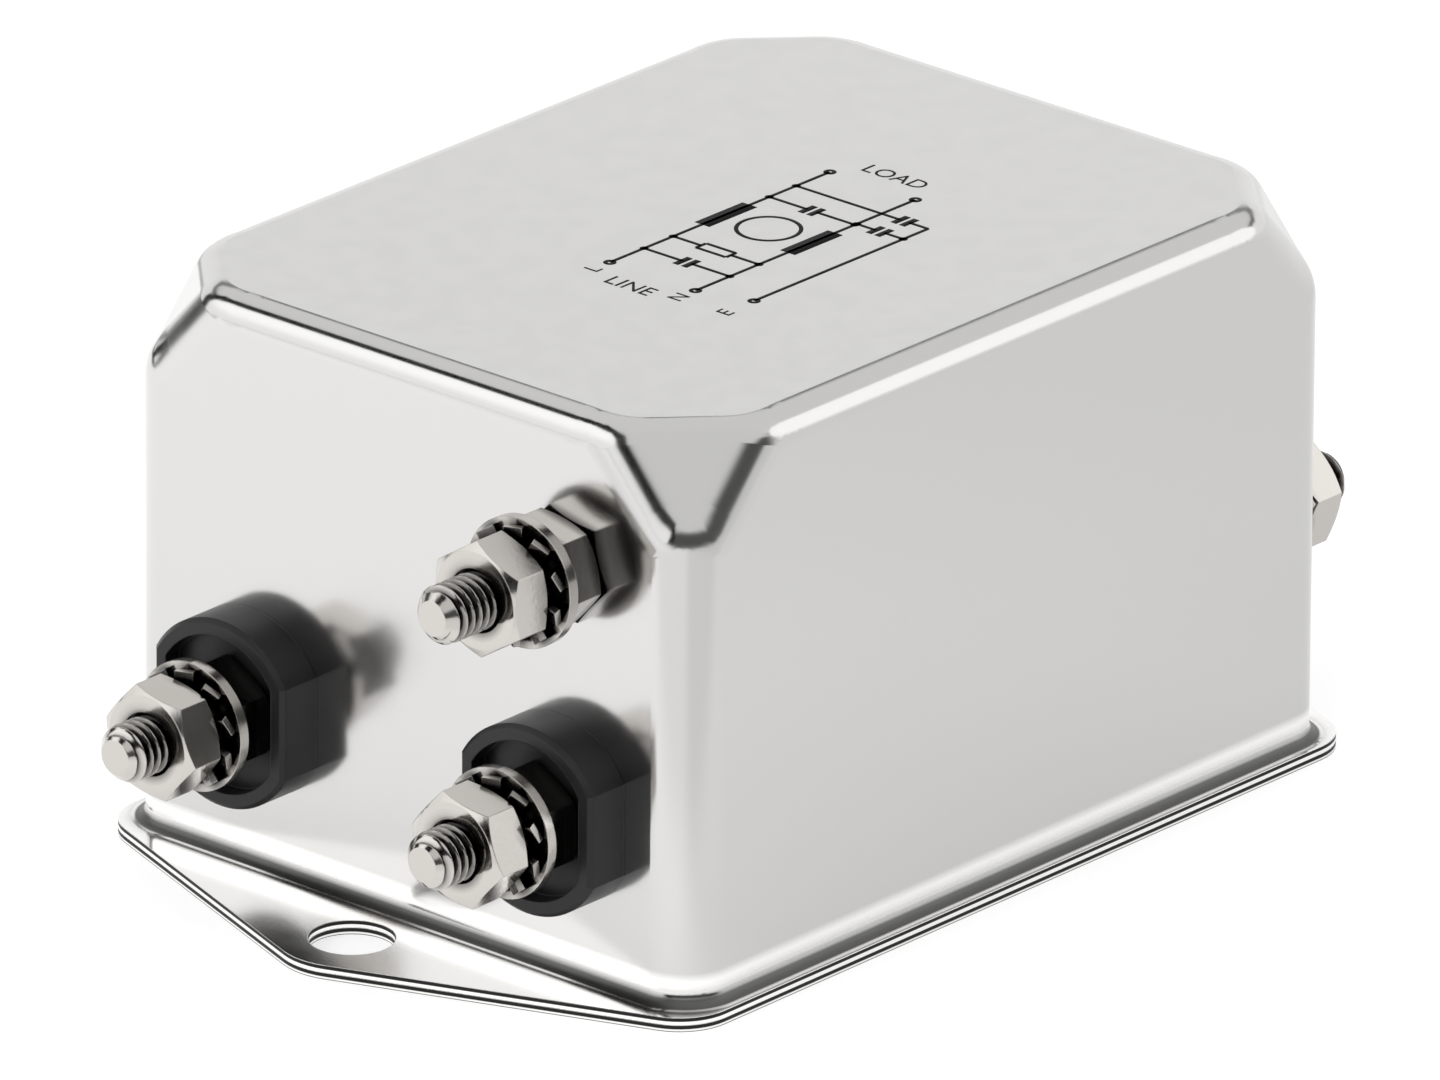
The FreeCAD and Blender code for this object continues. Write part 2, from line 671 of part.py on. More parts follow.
def build_terminals():
    nodes = []
    clamp_nuts, washers, tooth_washers, outer_nuts, lugs = [], [], [], [], []
    for terminal in TERMINALS:
        name, _, _, _, phase, tail = terminal
        if phase:
            stud = build_stud(f"{name}_stud", PHASE_SEAT, "Sizes.cup_floor", "Sizes.phase_stud_reach")
            cup = build_cup(f"{name}_insulator_cup")
            place(cup, terminal, "0")
            inner = build_ring(f"{name}_inner_insulator", "Sizes.inner_insulator_diameter",
                               PHASE_BORE, "Sizes.inner_insulator_thickness")
            place(inner, terminal, "-(Sizes.can_sheet + Sizes.inner_insulator_thickness)")
            nodes += [cup, inner]
            lugs.append((terminal, f"-({PHASE_SEAT})", str(tail)))
        else:
            stud = build_stud(f"{name}_stud", EARTH_SEAT, "0", "Sizes.earth_stud_reach")
            lugs.append((terminal, f"-({EARTH_SEAT})", str(tail)))
        place(stud, terminal, "0")
        nodes.append(stud)
        stack_outward(terminal, clamp_nuts, washers, tooth_washers, outer_nuts)
    nut = build_nut()
    washer = build_ring("washer_pattern", "Sizes.washer_diameter", WASHER_BORE, "Sizes.washer_thickness")
    nodes.append(build_group("clamp_nuts", nut, clamp_nuts))
    nodes.append(build_group("flat_washers", washer, washers))
    nodes.append(build_group("tooth_lock_washers", build_tooth_washer(), tooth_washers))
    nodes.append(build_group("terminal_nuts", nut, outer_nuts))
    nodes.append(build_group("solder_lugs", build_lug(), lugs))
    doc.recompute()
    return nodes


# Choke: ferrite ring, two windings and the separator between them, lying flat

def raise_to_terminals(body):
    body.setExpression("Placement.Base.z", "Sizes.terminal_height")


def build_core():
    body = new_body("choke_core")
    profile = new_sketch(body, "XZ_Plane", "CoreProfile")
    near, far = "Sizes.core_inner_diameter / 2", "Sizes.core_outer_diameter / 2"
    half, edge = "Sizes.core_height / 2", "Sizes.core_edge"
    draw_polygon(profile, [
        (near, f"-{half} + {edge}"), (f"{near} + {edge}", f"-{half}"),
        (f"{far} - {edge}", f"-{half}"), (far, f"-{half} + {edge}"),
        (far, f"{half} - {edge}"), (f"{far} - {edge}", half),
        (f"{near} + {edge}", half), (near, f"{half} - {edge}"),
    ])
    turned(body, "Revolution", profile)
    raise_to_terminals(body)
    return body


def build_winding(label, half_turn):
    """Turns of thick wire round one half of the core, with a straight tail to each lug."""
    body = new_body(label)
    first = new_sketch(body, "XZ_Plane", label + "Turn", turn=(Vector(0, 1, 0), FIRST_TURN))
    wire, bevel = "Sizes.winding_wire", "Sizes.winding_wire * 0.6"
    near, far, half = WINDING_INSIDE, WINDING_OUTSIDE, WINDING_HALF
    draw_polygon(first, [
        (near, f"-{half}"), (far, f"-{half}"), (far, half), (near, half),
    ])
    draw_polygon(first, [
        (f"{near} - {wire}", f"-({half} + {wire} - {bevel})"), (f"{near} - {wire} + {bevel}", f"-({half} + {wire})"),
        (f"{far} + {wire} - {bevel}", f"-({half} + {wire})"), (f"{far} + {wire}", f"-({half} + {wire} - {bevel})"),
        (f"{far} + {wire}", f"{half} + {wire} - {bevel}"), (f"{far} + {wire} - {bevel}", f"{half} + {wire}"),
        (f"{near} - {wire} + {bevel}", f"{half} + {wire}"), (f"{near} - {wire}", f"{half} + {wire} - {bevel}"),
    ])
    one_turn = pad(body, first, wire, midplane=True)
    upright_axis = new_sketch(body, "XY_Plane", label + "Axis")
    turns = body.newObject("PartDesign::PolarPattern", label + "Turns")
    turns.Originals = [one_turn]
    turns.Axis = (upright_axis, ["N_Axis"])
    turns.setExpression("Angle", f"180 deg - 2 * {FIRST_TURN}")
    turns.setExpression("Occurrences", "Sizes.winding_turns")
    body.Tip = turns
    doc.recompute()
    start = f"{TAIL_RADIUS} * cos({FIRST_TURN})"
    for name, sign, reverse in (("TailA", "", False), ("TailB", "-", True)):
        tail = new_sketch(body, "YZ_Plane", label + name, offset={"z": f"{sign}({start})"})
        draw_circle(tail, wire, TAIL_OFFSET)
        pad(body, tail, f"{LUG_FACE} - {start}", reverse=reverse)
    body.Placement = Placement(Vector(0, 0, 0), Rotation(Vector(0, 0, 1), half_turn))
    raise_to_terminals(body)
    return body


def build_separator():
    body = new_body("choke_separator")
    plate = new_sketch(body, "XY_Plane", "Separator")
    draw_rectangle(plate, f"{WINDING_INSIDE} - Sizes.separator_thickness / 4", "Sizes.separator_thickness / 2")
    pad(body, plate, "Sizes.core_height", midplane=True)
    raise_to_terminals(body)
    return body


# Capacitors, resistor and earth lead, their pins standing on the winding tails

def build_x_capacitor(label, sign):
    """A boxed capacitor across the two conductors, its pins standing on the winding tails."""
    body = new_body(label)
    box = new_sketch(body, "XY_Plane", label + "Box", offset={"z": CHOKE_TOP})
    draw_rectangle(box, f"({X_CAPACITOR_FAR} - {X_CAPACITOR_NEAR}) / 2", f"{TAIL_OFFSET} + Sizes.x_capacitor_end")
    pad(body, box, f"{ROOF} - Sizes.x_capacitor_cover - {CHOKE_TOP}")
    pins = new_sketch(body, "XY_Plane", label + "Pins", offset={"z": CHOKE_TOP})
    draw_circle(pins, "Sizes.pin_diameter", "0", TAIL_OFFSET)
    draw_circle(pins, "Sizes.pin_diameter", "0", f"-{TAIL_OFFSET}")
    pad(body, pins, f"{CHOKE_TOP} - {TAIL_TOP}", reverse=True)
    body.setExpression("Placement.Base.x", f"{sign}({X_CAPACITOR_FAR} + {X_CAPACITOR_NEAR}) / 2")
    return body


def build_y_capacitor(label, side):
    """A small boxed capacitor from one load tail to the earth lead."""
    body = new_body(label)
    bottom = f"({LEAD_HEIGHT} + Sizes.lead_diameter)"
    middle = "Sizes.branch_place - Sizes.y_capacitor_pitch / 2"
    across = f"{side}{TAIL_OFFSET}"
    box = new_sketch(body, "XY_Plane", label + "Box", offset={"z": bottom})
    draw_rectangle(box, "Sizes.y_capacitor_length / 2", "Sizes.y_capacitor_width / 2", (middle, across))
    pad(body, box, f"{ROOF} - Sizes.y_capacitor_cover - {bottom}")
    long_pin = new_sketch(body, "XY_Plane", label + "LongPin", offset={"z": bottom})
    draw_circle(long_pin, "Sizes.pin_diameter", "Sizes.branch_place", across)
    pad(body, long_pin, f"{bottom} - {TAIL_TOP}", reverse=True)
    short_pin = new_sketch(body, "XY_Plane", label + "ShortPin", offset={"z": bottom})
    draw_circle(short_pin, "Sizes.pin_diameter", LEAD_PLACE, across)
    pad(body, short_pin, "Sizes.lead_diameter / 2", reverse=True)
    return body


def add_wire(body, label, start_role, start_place, start_offset, path_role, corners, bend, diameter, lift):
    """A round wire swept along a path of straight runs and tangent arcs."""
    path = new_sketch(body, path_role, label + "Path", offset={"z": lift})
    draw_path(path, corners, bend)
    section = new_sketch(body, start_role, label + "Section", offset={"z": start_offset})
    draw_circle(section, diameter, *start_place)
    doc.recompute()
    wire = body.newObject("PartDesign::AdditivePipe", label + "Wire")
    wire.Profile = section
    wire.Spine = (path, [f"Edge{number}" for number in range(1, path.GeometryCount + 1)])
    doc.recompute()
    return wire


def build_resistor():
    body = new_body("bleeder_resistor")
    top = "Sizes.resistor_height"
    add_wire(body, "Resistor", "XY_Plane", ("-Sizes.branch_place", f"-{TAIL_OFFSET}"), TAIL_TOP,
             "YZ_Plane", [(f"-{TAIL_OFFSET}", TAIL_TOP), (f"-{TAIL_OFFSET}", top),
                          (TAIL_OFFSET, top), (TAIL_OFFSET, TAIL_TOP)],
             "Sizes.resistor_lead_bend", "Sizes.pin_diameter", "-Sizes.branch_place")
    barrel = new_sketch(body, "XZ_Plane", "ResistorBarrel")
    draw_circle(barrel, "Sizes.resistor_diameter", "-Sizes.branch_place", top)
    pad(body, barrel, "Sizes.resistor_length", midplane=True)
    return body


def build_earth_lead():
    """The wire from one earth lug to the other, crossing under the two small capacitors."""
    body = new_body("earth_lead")
    add_wire(body, "EarthLead", "YZ_Plane", (f"-{HALF_SPACING}", LEAD_HEIGHT), f"-{EARTH_LUG_FACE}",
             "XY_Plane", [(f"-{EARTH_LUG_FACE}", f"-{HALF_SPACING}"), (LEAD_PLACE, f"-{HALF_SPACING}"),
                          (LEAD_PLACE, HALF_SPACING), (EARTH_LUG_FACE, HALF_SPACING)],
             "Sizes.lead_bend", "Sizes.lead_diameter", LEAD_HEIGHT)
    return body


def build_potting(embedded):
    """Resin that fills the can above the choke, moulded round all that stands in it."""
    form = new_body("potting_form")
    build_form(form, "Sizes.can_sheet", CHOKE_TOP)
    seat = f"({WASHER_BORE} + Sizes.lug_diameter) / 2"
    for name, side, reverse in (("LineSeat", "-", False), ("LoadSeat", "", True)):
        clear = new_sketch(form, "YZ_Plane", name, offset={"z": f"{side}{EARTH_LUG_FACE}"})
        draw_circle(clear, seat, f"{side}{HALF_SPACING}", "Sizes.earth_height")
        pocket(form, clear, reverse=reverse)
    block = form
    for piece in embedded:
        cut = doc.addObject("Part::Cut", f"PottingRound_{piece.Label}")
        cut.Base = block
        cut.Tool = piece
        block = cut
    block.Label = "potting_block"
    doc.recompute()
    return block


# Build every node, check each one, and write its file

def main():
    terminals = build_terminals()
    inner = [
        build_x_capacitor("line_x_capacitor", "-"), build_x_capacitor("load_x_capacitor", ""),
        build_y_capacitor("line_y_capacitor", ""), build_y_capacitor("neutral_y_capacitor", "-"),
        build_resistor(), build_earth_lead(),
    ]
    embedded = inner + [node for node in terminals if node.Label.endswith(("earth_stud", "solder_lugs"))]
    nodes = [build_can(), build_base_plate(), build_base_film()] + terminals + [
        build_core(), build_winding("line_winding", 0), build_winding("neutral_winding", 180),
        build_separator(),
    ] + inner + [build_potting(embedded)]
    doc.recompute()
    faults = [item.Name for item in doc.Objects if {"Invalid", "Error"} & set(item.State)]
    if faults:
        raise RuntimeError(f"failed objects: {faults}")
    for node in nodes:
        if node.Shape.isNull() or not node.Shape.isValid() or not node.Shape.Solids:
            raise RuntimeError(f"bad shape: {node.Label}")
    for node in nodes:
        node.Shape.exportStep(f"parts/{node.Label}.step")
        print(f"{node.Label}: {len(node.Shape.Solids)} solid(s), {node.Shape.Volume:.1f} mm3")


main()
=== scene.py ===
import json
import logging
import math
from dataclasses import dataclass
from enum import Enum

import bmesh
import bpy
from mathutils import Matrix, Vector


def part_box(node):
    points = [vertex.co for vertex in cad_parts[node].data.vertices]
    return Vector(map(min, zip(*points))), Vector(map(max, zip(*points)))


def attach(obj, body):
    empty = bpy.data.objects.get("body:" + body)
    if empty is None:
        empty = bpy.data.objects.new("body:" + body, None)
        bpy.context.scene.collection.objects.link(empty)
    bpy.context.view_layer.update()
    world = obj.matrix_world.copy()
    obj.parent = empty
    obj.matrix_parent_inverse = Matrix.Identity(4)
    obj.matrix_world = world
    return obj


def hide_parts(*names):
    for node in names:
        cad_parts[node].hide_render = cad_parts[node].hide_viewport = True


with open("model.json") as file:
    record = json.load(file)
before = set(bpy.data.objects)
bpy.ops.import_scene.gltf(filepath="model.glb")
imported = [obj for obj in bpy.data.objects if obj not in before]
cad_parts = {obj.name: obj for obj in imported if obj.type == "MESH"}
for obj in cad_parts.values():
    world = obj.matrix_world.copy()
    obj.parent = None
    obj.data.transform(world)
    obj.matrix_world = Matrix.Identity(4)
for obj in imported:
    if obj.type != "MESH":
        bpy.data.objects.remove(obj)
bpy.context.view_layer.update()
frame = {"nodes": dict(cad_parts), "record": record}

LOG = logging.getLogger("line_filter")
MM = 0.001
ROOT = "root"
Triple = tuple[float, float, float]
Pair = tuple[float, float]
Segment = tuple[Pair, Pair]
Socket = bpy.types.NodeSocket

# Directions: up, across the photograph to its right, and over the floor towards its camera
UP: Triple = (0.0, 0.0, 1.0)
ACROSS: Triple = (0.658, -0.753, 0.0)
NEARER: Triple = (-0.753, -0.658, 0.0)


class Slot(Enum):
    """The record's material slots."""

    PLATED_STEEL = "plated_steel"
    NICKEL_FASTENERS = "nickel_fasteners"
    BLACK_MOULDING = "black_moulding"
    INSULATING_BOARD = "insulating_board"
    INSULATING_FILM = "insulating_film"
    TINNED_COPPER = "tinned_copper"
    ENAMELLED_COPPER = "enamelled_copper"
    FERRITE = "ferrite"
    YELLOW_CASE = "yellow_case"
    BLUE_CASE = "blue_case"
    RESISTOR_COAT = "resistor_coat"
    RESIN = "resin"


class End(Enum):
    """The two ends of the can, as the sign of X that each end wall faces."""

    LINE = -1
    LOAD = 1


# Node trees


class NodeMaths:
    """A node tree under construction, with its nodes and sums written as calls."""

    def __init__(self, tree: bpy.types.NodeTree) -> None:
        """Take the tree that the nodes go into."""
        self.tree = tree

    def add(self, kind: str, settings: dict[str, object] | None = None, **inputs: object) -> bpy.types.Node:
        """Add a node, set its properties, and feed its inputs by name.

        Args:
            kind: Type of the node.
            settings: Properties of the node.
            **inputs: Sockets or plain values by input name, with spaces written as underscores.

        Returns:
            The new node.
        """
        node = self.tree.nodes.new(kind)
        for name, setting in (settings or {}).items():
            setattr(node, name, setting)
        for name, given in inputs.items():
            self.feed(node.inputs[name.replace("_", " ")], given)
        return node

    def join(self, kind: str, *terms: object, **settings: object) -> bpy.types.Node:
        """Add a node, set its properties, and feed its inputs in their order.

        Args:
            kind: Type of the node.
            *terms: Sockets or plain values, one for each input.
            **settings: Properties of the node.

        Returns:
            The new node.
        """
        node = self.add(kind, settings)
        for socket, term in zip(node.inputs, terms):
            self.feed(socket, term)
        return node

    def sum(self, operation: str, *terms: object) -> Socket:
        """Add a Math node.

        Args:
            operation: What it does with its terms.
            *terms: Up to three sockets or plain values.

        Returns:
            The result.
        """
        return self.join("ShaderNodeMath", *terms, operation=operation).outputs[0]

    def along(self, place: Socket, axis: Triple) -> Socket:
        """Measure how far a place or direction reaches along an axis.

        Args:
            place: The place or direction.
            axis: The axis, of length one.

        Returns:
            The reach.
        """
        return self.join("ShaderNodeVectorMath", place, axis, operation="DOT_PRODUCT").outputs["Value"]

    def blend(self, tone: Socket | Triple, share: Socket) -> Socket:
        """Leave only a share of a colour.

        Args:
            tone: The colour.
            share: The share that is left.

        Returns:
            The darker colour, or the brighter one where the share is over one.
        """
        return self.join("ShaderNodeVectorMath", tone, share, operation="MULTIPLY").outputs[0]

    def step(self, value: Socket, start: float, stop: float, low: float = 0.0, high: float = 1.0) -> Socket:
        """Ease from low to high while a value goes from start to stop.

        Args:
            value: Socket that drives the change.
            start: Value at which the change starts.
            stop: Value at which it is complete.
            low: Result before the change.
            high: Result after it.

        Returns:
            The result.
        """
        eased = self.add("ShaderNodeMapRange", {"interpolation_type": "SMOOTHSTEP"}, Value=value,
                         From_Min=start, From_Max=stop, To_Min=low, To_Max=high)
        return eased.outputs[0]

    def ramp(self, value: Socket, levels: tuple[Pair, ...]) -> Socket:
        """Look a level up, with straight lines between the levels that are given.

        Args:
            value: Socket between 0 and 1.
            levels: Values in rising order, each with its level.

        Returns:
            The level as a grey colour.
        """
        node = self.add("ShaderNodeValToRGB", Fac=value)
        stops = node.color_ramp.elements
        while len(stops) < len(levels):
            stops.new(0.5)
        for stop, (position, level) in zip(stops, levels):
            stop.position = position
            stop.color = (level, level, level, 1.0)
        return node.outputs["Color"]

    def feed(self, socket: Socket, given: object) -> None:
        """Link a socket to an input, or set the input's plain value.

        Args:
            socket: The input.
            given: Socket or plain value.
        """
        if isinstance(given, Socket):
            self.tree.links.new(given, socket)
        else:
            socket.default_value = given


# Finishes

LEAST_ROUGHNESS = 0.02
GRAIN_DETAIL = 3.0
GRAIN_DEPTH = 0.02 * MM
CLOUDS_PER_GRAIN = 0.05
CLOUD_DETAIL = 2.0
CLOUD_START = 0.3
CLOUD_STOP = 0.7
EDGE_SAMPLES = 6
CREVICE_SHADE_SAMPLES = 8


@dataclass(frozen=True)
class SurfaceFinish:
    """A surface with a fine relief, rounded edges, a slight change of gloss from place to place and painted
    shade in crevices.

    Attributes:
        name: Name of the material.
        colour: Base colour.
        metallic: 1 for metal, 0 for anything else.
        roughness: Middle roughness.
        roughness_spread: How far the roughness wanders either side of the middle.
        grain_per_mm: Size of the relief, in grains to the millimetre.
        relief: Strength of the relief.
        edge_radius_mm: Radius that sharp edges seem to have.
        crevice_shade_mm: Depth of the crevices that get painted shade, or 0 for none.
        crevice_shade_contrast: How fast the painted shade darkens as crevices close.
        crevice_shade_own: Whether only the piece's own surfaces cast its painted shade in crevices.
        ior: Index of refraction, for what isn't metal.
    """

    name: str
    colour: Triple
    metallic: float = 0.0
    roughness: float = 0.5
    roughness_spread: float = 0.05
    grain_per_mm: float = 3.0
    relief: float = 0.1
    edge_radius_mm: float = 0.1
    crevice_shade_mm: float = 0.0
    crevice_shade_contrast: float = 1.0
    crevice_shade_own: bool = False
    ior: float = 1.5

    def build(self) -> bpy.types.Material:
        """Make the material.

        Returns:
            The finished material.
        """
        material = bpy.data.materials.new(self.name)
        material.use_nodes = True
        maths = NodeMaths(material.node_tree)
        place = maths.add("ShaderNodeTexCoord").outputs["Object"]
        tone, dullness = self._shade(maths, place)
        cloud = self._noise(maths, place, self.grain_per_mm / MM * CLOUDS_PER_GRAIN, CLOUD_DETAIL)
        gloss = maths.step(cloud, CLOUD_START, CLOUD_STOP,
                           max(LEAST_ROUGHNESS, self.roughness - self.roughness_spread),
                           self.roughness + self.roughness_spread)
        edge = maths.add("ShaderNodeBevel", {"samples": EDGE_SAMPLES}, Radius=self.edge_radius_mm * MM)
        grain = self._noise(maths, place, self.grain_per_mm / MM, GRAIN_DETAIL)
        bump = maths.add("ShaderNodeBump", Strength=self.relief, Distance=GRAIN_DEPTH, Height=grain,
                         Normal=edge.outputs["Normal"])
        shader = material.node_tree.nodes["Principled BSDF"]
        maths.feed(shader.inputs["Base Color"], tone if isinstance(tone, Socket) else (*tone, 1.0))
        maths.feed(shader.inputs["Metallic"], self.metallic)
        maths.feed(shader.inputs["IOR"], self.ior)
        maths.feed(shader.inputs["Roughness"], maths.sum("ADD", gloss, dullness))
        maths.feed(shader.inputs["Normal"], bump.outputs["Normal"])
        return material

    def _shade(self, maths: NodeMaths, place: Socket) -> tuple[Socket | Triple, Socket | float]:
        """Work out the base colour, with painted shade in crevices.

        Args:
            maths: The material's tree.
            place: Object coordinates, for finishes that change from place to place.

        Returns:
            The colour, and what the place adds to the roughness.
        """
        if self.crevice_shade_mm == 0:
            return self.colour, 0.0
        # Painted shade: ambient occlusion darkens the colour in crevices
        settings = {"samples": CREVICE_SHADE_SAMPLES, "only_local": self.crevice_shade_own}
        crevice_shade = maths.add("ShaderNodeAmbientOcclusion", settings, Distance=self.crevice_shade_mm * MM)
        share = maths.sum("POWER", crevice_shade.outputs["AO"], self.crevice_shade_contrast)
        return maths.blend(self.colour, share), 0.0

    @staticmethod
    def _noise(maths: NodeMaths, place: Socket, scale: float, detail: float) -> Socket:
        """Add a noise texture.

        Args:
            maths: The material's tree.
            place: Object coordinates.
            scale: Size of the noise, in grains to the metre.
            detail: Finer octaves that are added.

        Returns:
            The noise's value.
        """
        return maths.add("ShaderNodeTexNoise", Vector=place, Scale=scale, Detail=detail).outputs[0]


@dataclass(frozen=True)
class SheetFinish(SurfaceFinish):
    """Plated sheet whose edges and foot bend have painted shade and painted highlights in bands by height;
    the shaded bands are duller.

    Attributes:
        light_and_shade_bands: Heights above the base in millimetres, each with the share of the colour that
            is left: under one is painted shade, over one is painted highlight.
        band_dullness: Roughness that a fully dark band would add.
    """

    light_and_shade_bands: tuple[Pair, ...] = ()
    band_dullness: float = 0.0

    def _shade(self, maths: NodeMaths, place: Socket) -> tuple[Socket, Socket]:
        """Work out the base colour, with painted shade in crevices and painted shade and painted highlights
        in the bands.

        Args:
            maths: The material's tree.
            place: Object coordinates.

        Returns:
            The colour, and what the place adds to the roughness.
        """
        tone, _ = super()._shade(maths, place)
        # Painted shade and painted highlights, by height above the base
        reach = self.light_and_shade_bands[-1][0] * MM
        height = maths.sum("DIVIDE", maths.along(place, UP), reach)
        share = maths.ramp(height, tuple((level * MM / reach, left) for level, left in self.light_and_shade_bands))
        dark = maths.sum("MAXIMUM", maths.sum("SUBTRACT", 1.0, share), 0.0)
        return maths.blend(tone, share), maths.sum("MULTIPLY", dark, self.band_dullness)


# The steel's painted light and shade bands, from below: a painted highlight and a painted shade line on
# the base plate's edge, the same on the flange's edge, a painted highlight on the flange's top, painted
# shade on the foot bend and a painted highlight on the foot of the wall
# Painted shade darkens each finish's colour in its crevices, where a depth is set for it
FINISHES: dict[Slot, SurfaceFinish] = {
    Slot.PLATED_STEEL: SheetFinish(
        "plated_steel", (0.62, 0.615, 0.608), metallic=1.0, roughness=0.15, roughness_spread=0.01,
        grain_per_mm=9.0, relief=0.03, edge_radius_mm=0.08, band_dullness=0.4,
        crevice_shade_mm=1.5, crevice_shade_contrast=2.5, crevice_shade_own=True,
        light_and_shade_bands=((0.04, 0.3), (0.08, 1.5), (0.17, 1.5), (0.21, 0.05), (0.44, 0.05), (0.48, 1.6),
               (0.70, 1.6), (0.74, 0.05), (0.965, 0.05), (0.985, 1.6), (1.02, 1.6), (1.06, 0.30),
               (1.48, 0.30), (1.74, 1.1), (1.95, 1.6), (2.65, 1.6), (3.3, 1.0))),
    Slot.NICKEL_FASTENERS: SurfaceFinish(
        "nickel_fasteners", (0.55, 0.53, 0.50), metallic=1.0, roughness=0.17, roughness_spread=0.06,
        grain_per_mm=2.5, relief=0.25, edge_radius_mm=0.10, crevice_shade_mm=1.1, crevice_shade_contrast=3.2),
    Slot.BLACK_MOULDING: SurfaceFinish(
        "black_moulding", (0.015, 0.015, 0.016), roughness=0.36, grain_per_mm=4.0, relief=0.2,
        edge_radius_mm=0.15, crevice_shade_mm=2.0, ior=1.36),
    Slot.INSULATING_BOARD: SurfaceFinish("insulating_board", (0.80, 0.76, 0.64), roughness=0.7),
    Slot.INSULATING_FILM: SurfaceFinish("insulating_film", (0.84, 0.82, 0.72), roughness=0.35),
    Slot.TINNED_COPPER: SurfaceFinish("tinned_copper", (0.76, 0.74, 0.69), metallic=1.0, roughness=0.3),
    Slot.ENAMELLED_COPPER: SurfaceFinish(
        "enamelled_copper", (0.55, 0.20, 0.08), metallic=1.0, roughness=0.2),
    Slot.FERRITE: SurfaceFinish("ferrite", (0.07, 0.10, 0.08), roughness=0.45, relief=0.3),
    Slot.YELLOW_CASE: SurfaceFinish("yellow_case", (0.80, 0.50, 0.06), roughness=0.3),
    Slot.BLUE_CASE: SurfaceFinish("blue_case", (0.05, 0.16, 0.50), roughness=0.3),
    Slot.RESISTOR_COAT: SurfaceFinish("resistor_coat", (0.50, 0.36, 0.20), roughness=0.4),
    Slot.RESIN: SurfaceFinish("resin", (0.10, 0.09, 0.08), roughness=0.5, relief=0.3),
}
INK = SurfaceFinish("print_ink", (0.006, 0.006, 0.007), roughness=0.6, relief=0.0,
                    edge_radius_mm=0.01, ior=1.2)


# Mesh and tree helpers


def piece(name: str, mesh: bpy.types.Mesh, material: bpy.types.Material) -> bpy.types.Object:
    """Make an object of a finished mesh and let it ride the part's only body.

    Args:
        name: Name of the piece.
        mesh: Mesh with its place in its vertices.
        material: Finish of the whole piece.

    Returns:
        The new object.
    """
    mesh.materials.clear()
    mesh.materials.append(material)
    made = bpy.data.objects.new(name, mesh)
    bpy.context.scene.collection.objects.link(made)
    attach(made, ROOT)
    return made


def plain_mesh(holder: bpy.types.Object) -> bpy.types.Mesh:
    """Turn an object with all its modifiers into a plain mesh, and remove the object.

    Args:
        holder: Object that isn't in the scene yet.

    Returns:
        The plain mesh.
    """
    bpy.context.scene.collection.objects.link(holder)
    graph = bpy.context.evaluated_depsgraph_get()
    mesh = bpy.data.meshes.new_from_object(holder.evaluated_get(graph), depsgraph=graph)
    bpy.data.objects.remove(holder)
    return mesh


def smooth_by_angle(mesh: bpy.types.Mesh, degrees: float) -> None:
    """Shade a mesh smooth except across edges sharper than an angle.

    Args:
        mesh: Mesh to shade.
        degrees: Largest angle between faces that still shades smooth.
    """
    work = bmesh.new()
    work.from_mesh(mesh)
    limit = math.radians(degrees)
    for face in work.faces:
        face.smooth = True
    for edge in work.edges:
        edge.smooth = len(edge.link_faces) == 2 and edge.calc_face_angle(0.0) < limit
    work.to_mesh(mesh)
    work.free()


class ShapeTree(NodeMaths):
    """A Geometry Nodes tree under construction, with named number inputs."""

    def __init__(self, name: str) -> None:
        """Start an empty tree.

        Args:
            name: Name of the tree.
        """
        super().__init__(bpy.data.node_groups.new(name, "GeometryNodeTree"))
        self.tree.interface.new_socket("Geometry", in_out="INPUT", socket_type="NodeSocketGeometry")
        self.tree.interface.new_socket("Geometry", in_out="OUTPUT", socket_type="NodeSocketGeometry")
        self.entry = self.tree.nodes.new("NodeGroupInput")
        self.identifiers: dict[str, str] = {}

    def size(self, name: str) -> Socket:
        """Add a named number input.

        Args:
            name: Name of the input.

        Returns:
            Its socket inside the tree.
        """
        socket = self.tree.interface.new_socket(name, in_out="INPUT", socket_type="NodeSocketFloat")
        self.identifiers[name] = socket.identifier
        return self.entry.outputs[name]

    def finish(self, geometry: Socket, material: bpy.types.Material) -> None:
        """End the tree in Realize Instances and Set Material.

        Args:
            geometry: Socket that holds the whole shape.
            material: Material of the whole shape.
        """
        real = self.add("GeometryNodeRealizeInstances", Geometry=geometry)
        dressed = self.add("GeometryNodeSetMaterial", Geometry=real.outputs[0], Material=material)
        self.join("NodeGroupOutput", dressed.outputs[0])

    def make_mesh(self, name: str, sizes: dict[str, float],
                  source: bpy.types.ID | None = None) -> bpy.types.Mesh:
        """Run the tree once and return the result as a plain mesh.

        Args:
            name: Name of the mesh.
            sizes: Value of each named input.
            source: Mesh or curve data that the tree works on, if any.

        Returns:
            The plain mesh.
        """
        holder = bpy.data.objects.new(f"{name}_holder", source or bpy.data.meshes.new(f"{name}_holder"))
        modifier = holder.modifiers.new("shape", "NODES")
        modifier.node_group = self.tree
        for label, number in sizes.items():
            modifier[self.identifiers[label]] = number
        mesh = plain_mesh(holder)
        mesh.name = name
        return mesh


# The drawn can, its base and what is sealed inside


@dataclass
class Housing:
    """Pieces whose form is all in the frame and that only need their finish.

    Attributes:
        materials: Material of each slot.
    """

    materials: dict[Slot, bpy.types.Material]

    def dress(self) -> list[str]:
        """Give each frame node the finish of its own material slot.

        Returns:
            Names of the nodes that were dressed.
        """
        dressed = []
        for subpart in frame["record"]["subparts"]:
            node = frame["nodes"][subpart["node"]]
            node.data.materials.clear()
            node.data.materials.append(self.materials[Slot(subpart["material_slot"])])
            dressed.append(subpart["node"])
        return dressed


# Terminals

HEXAGON_SIDES = 6


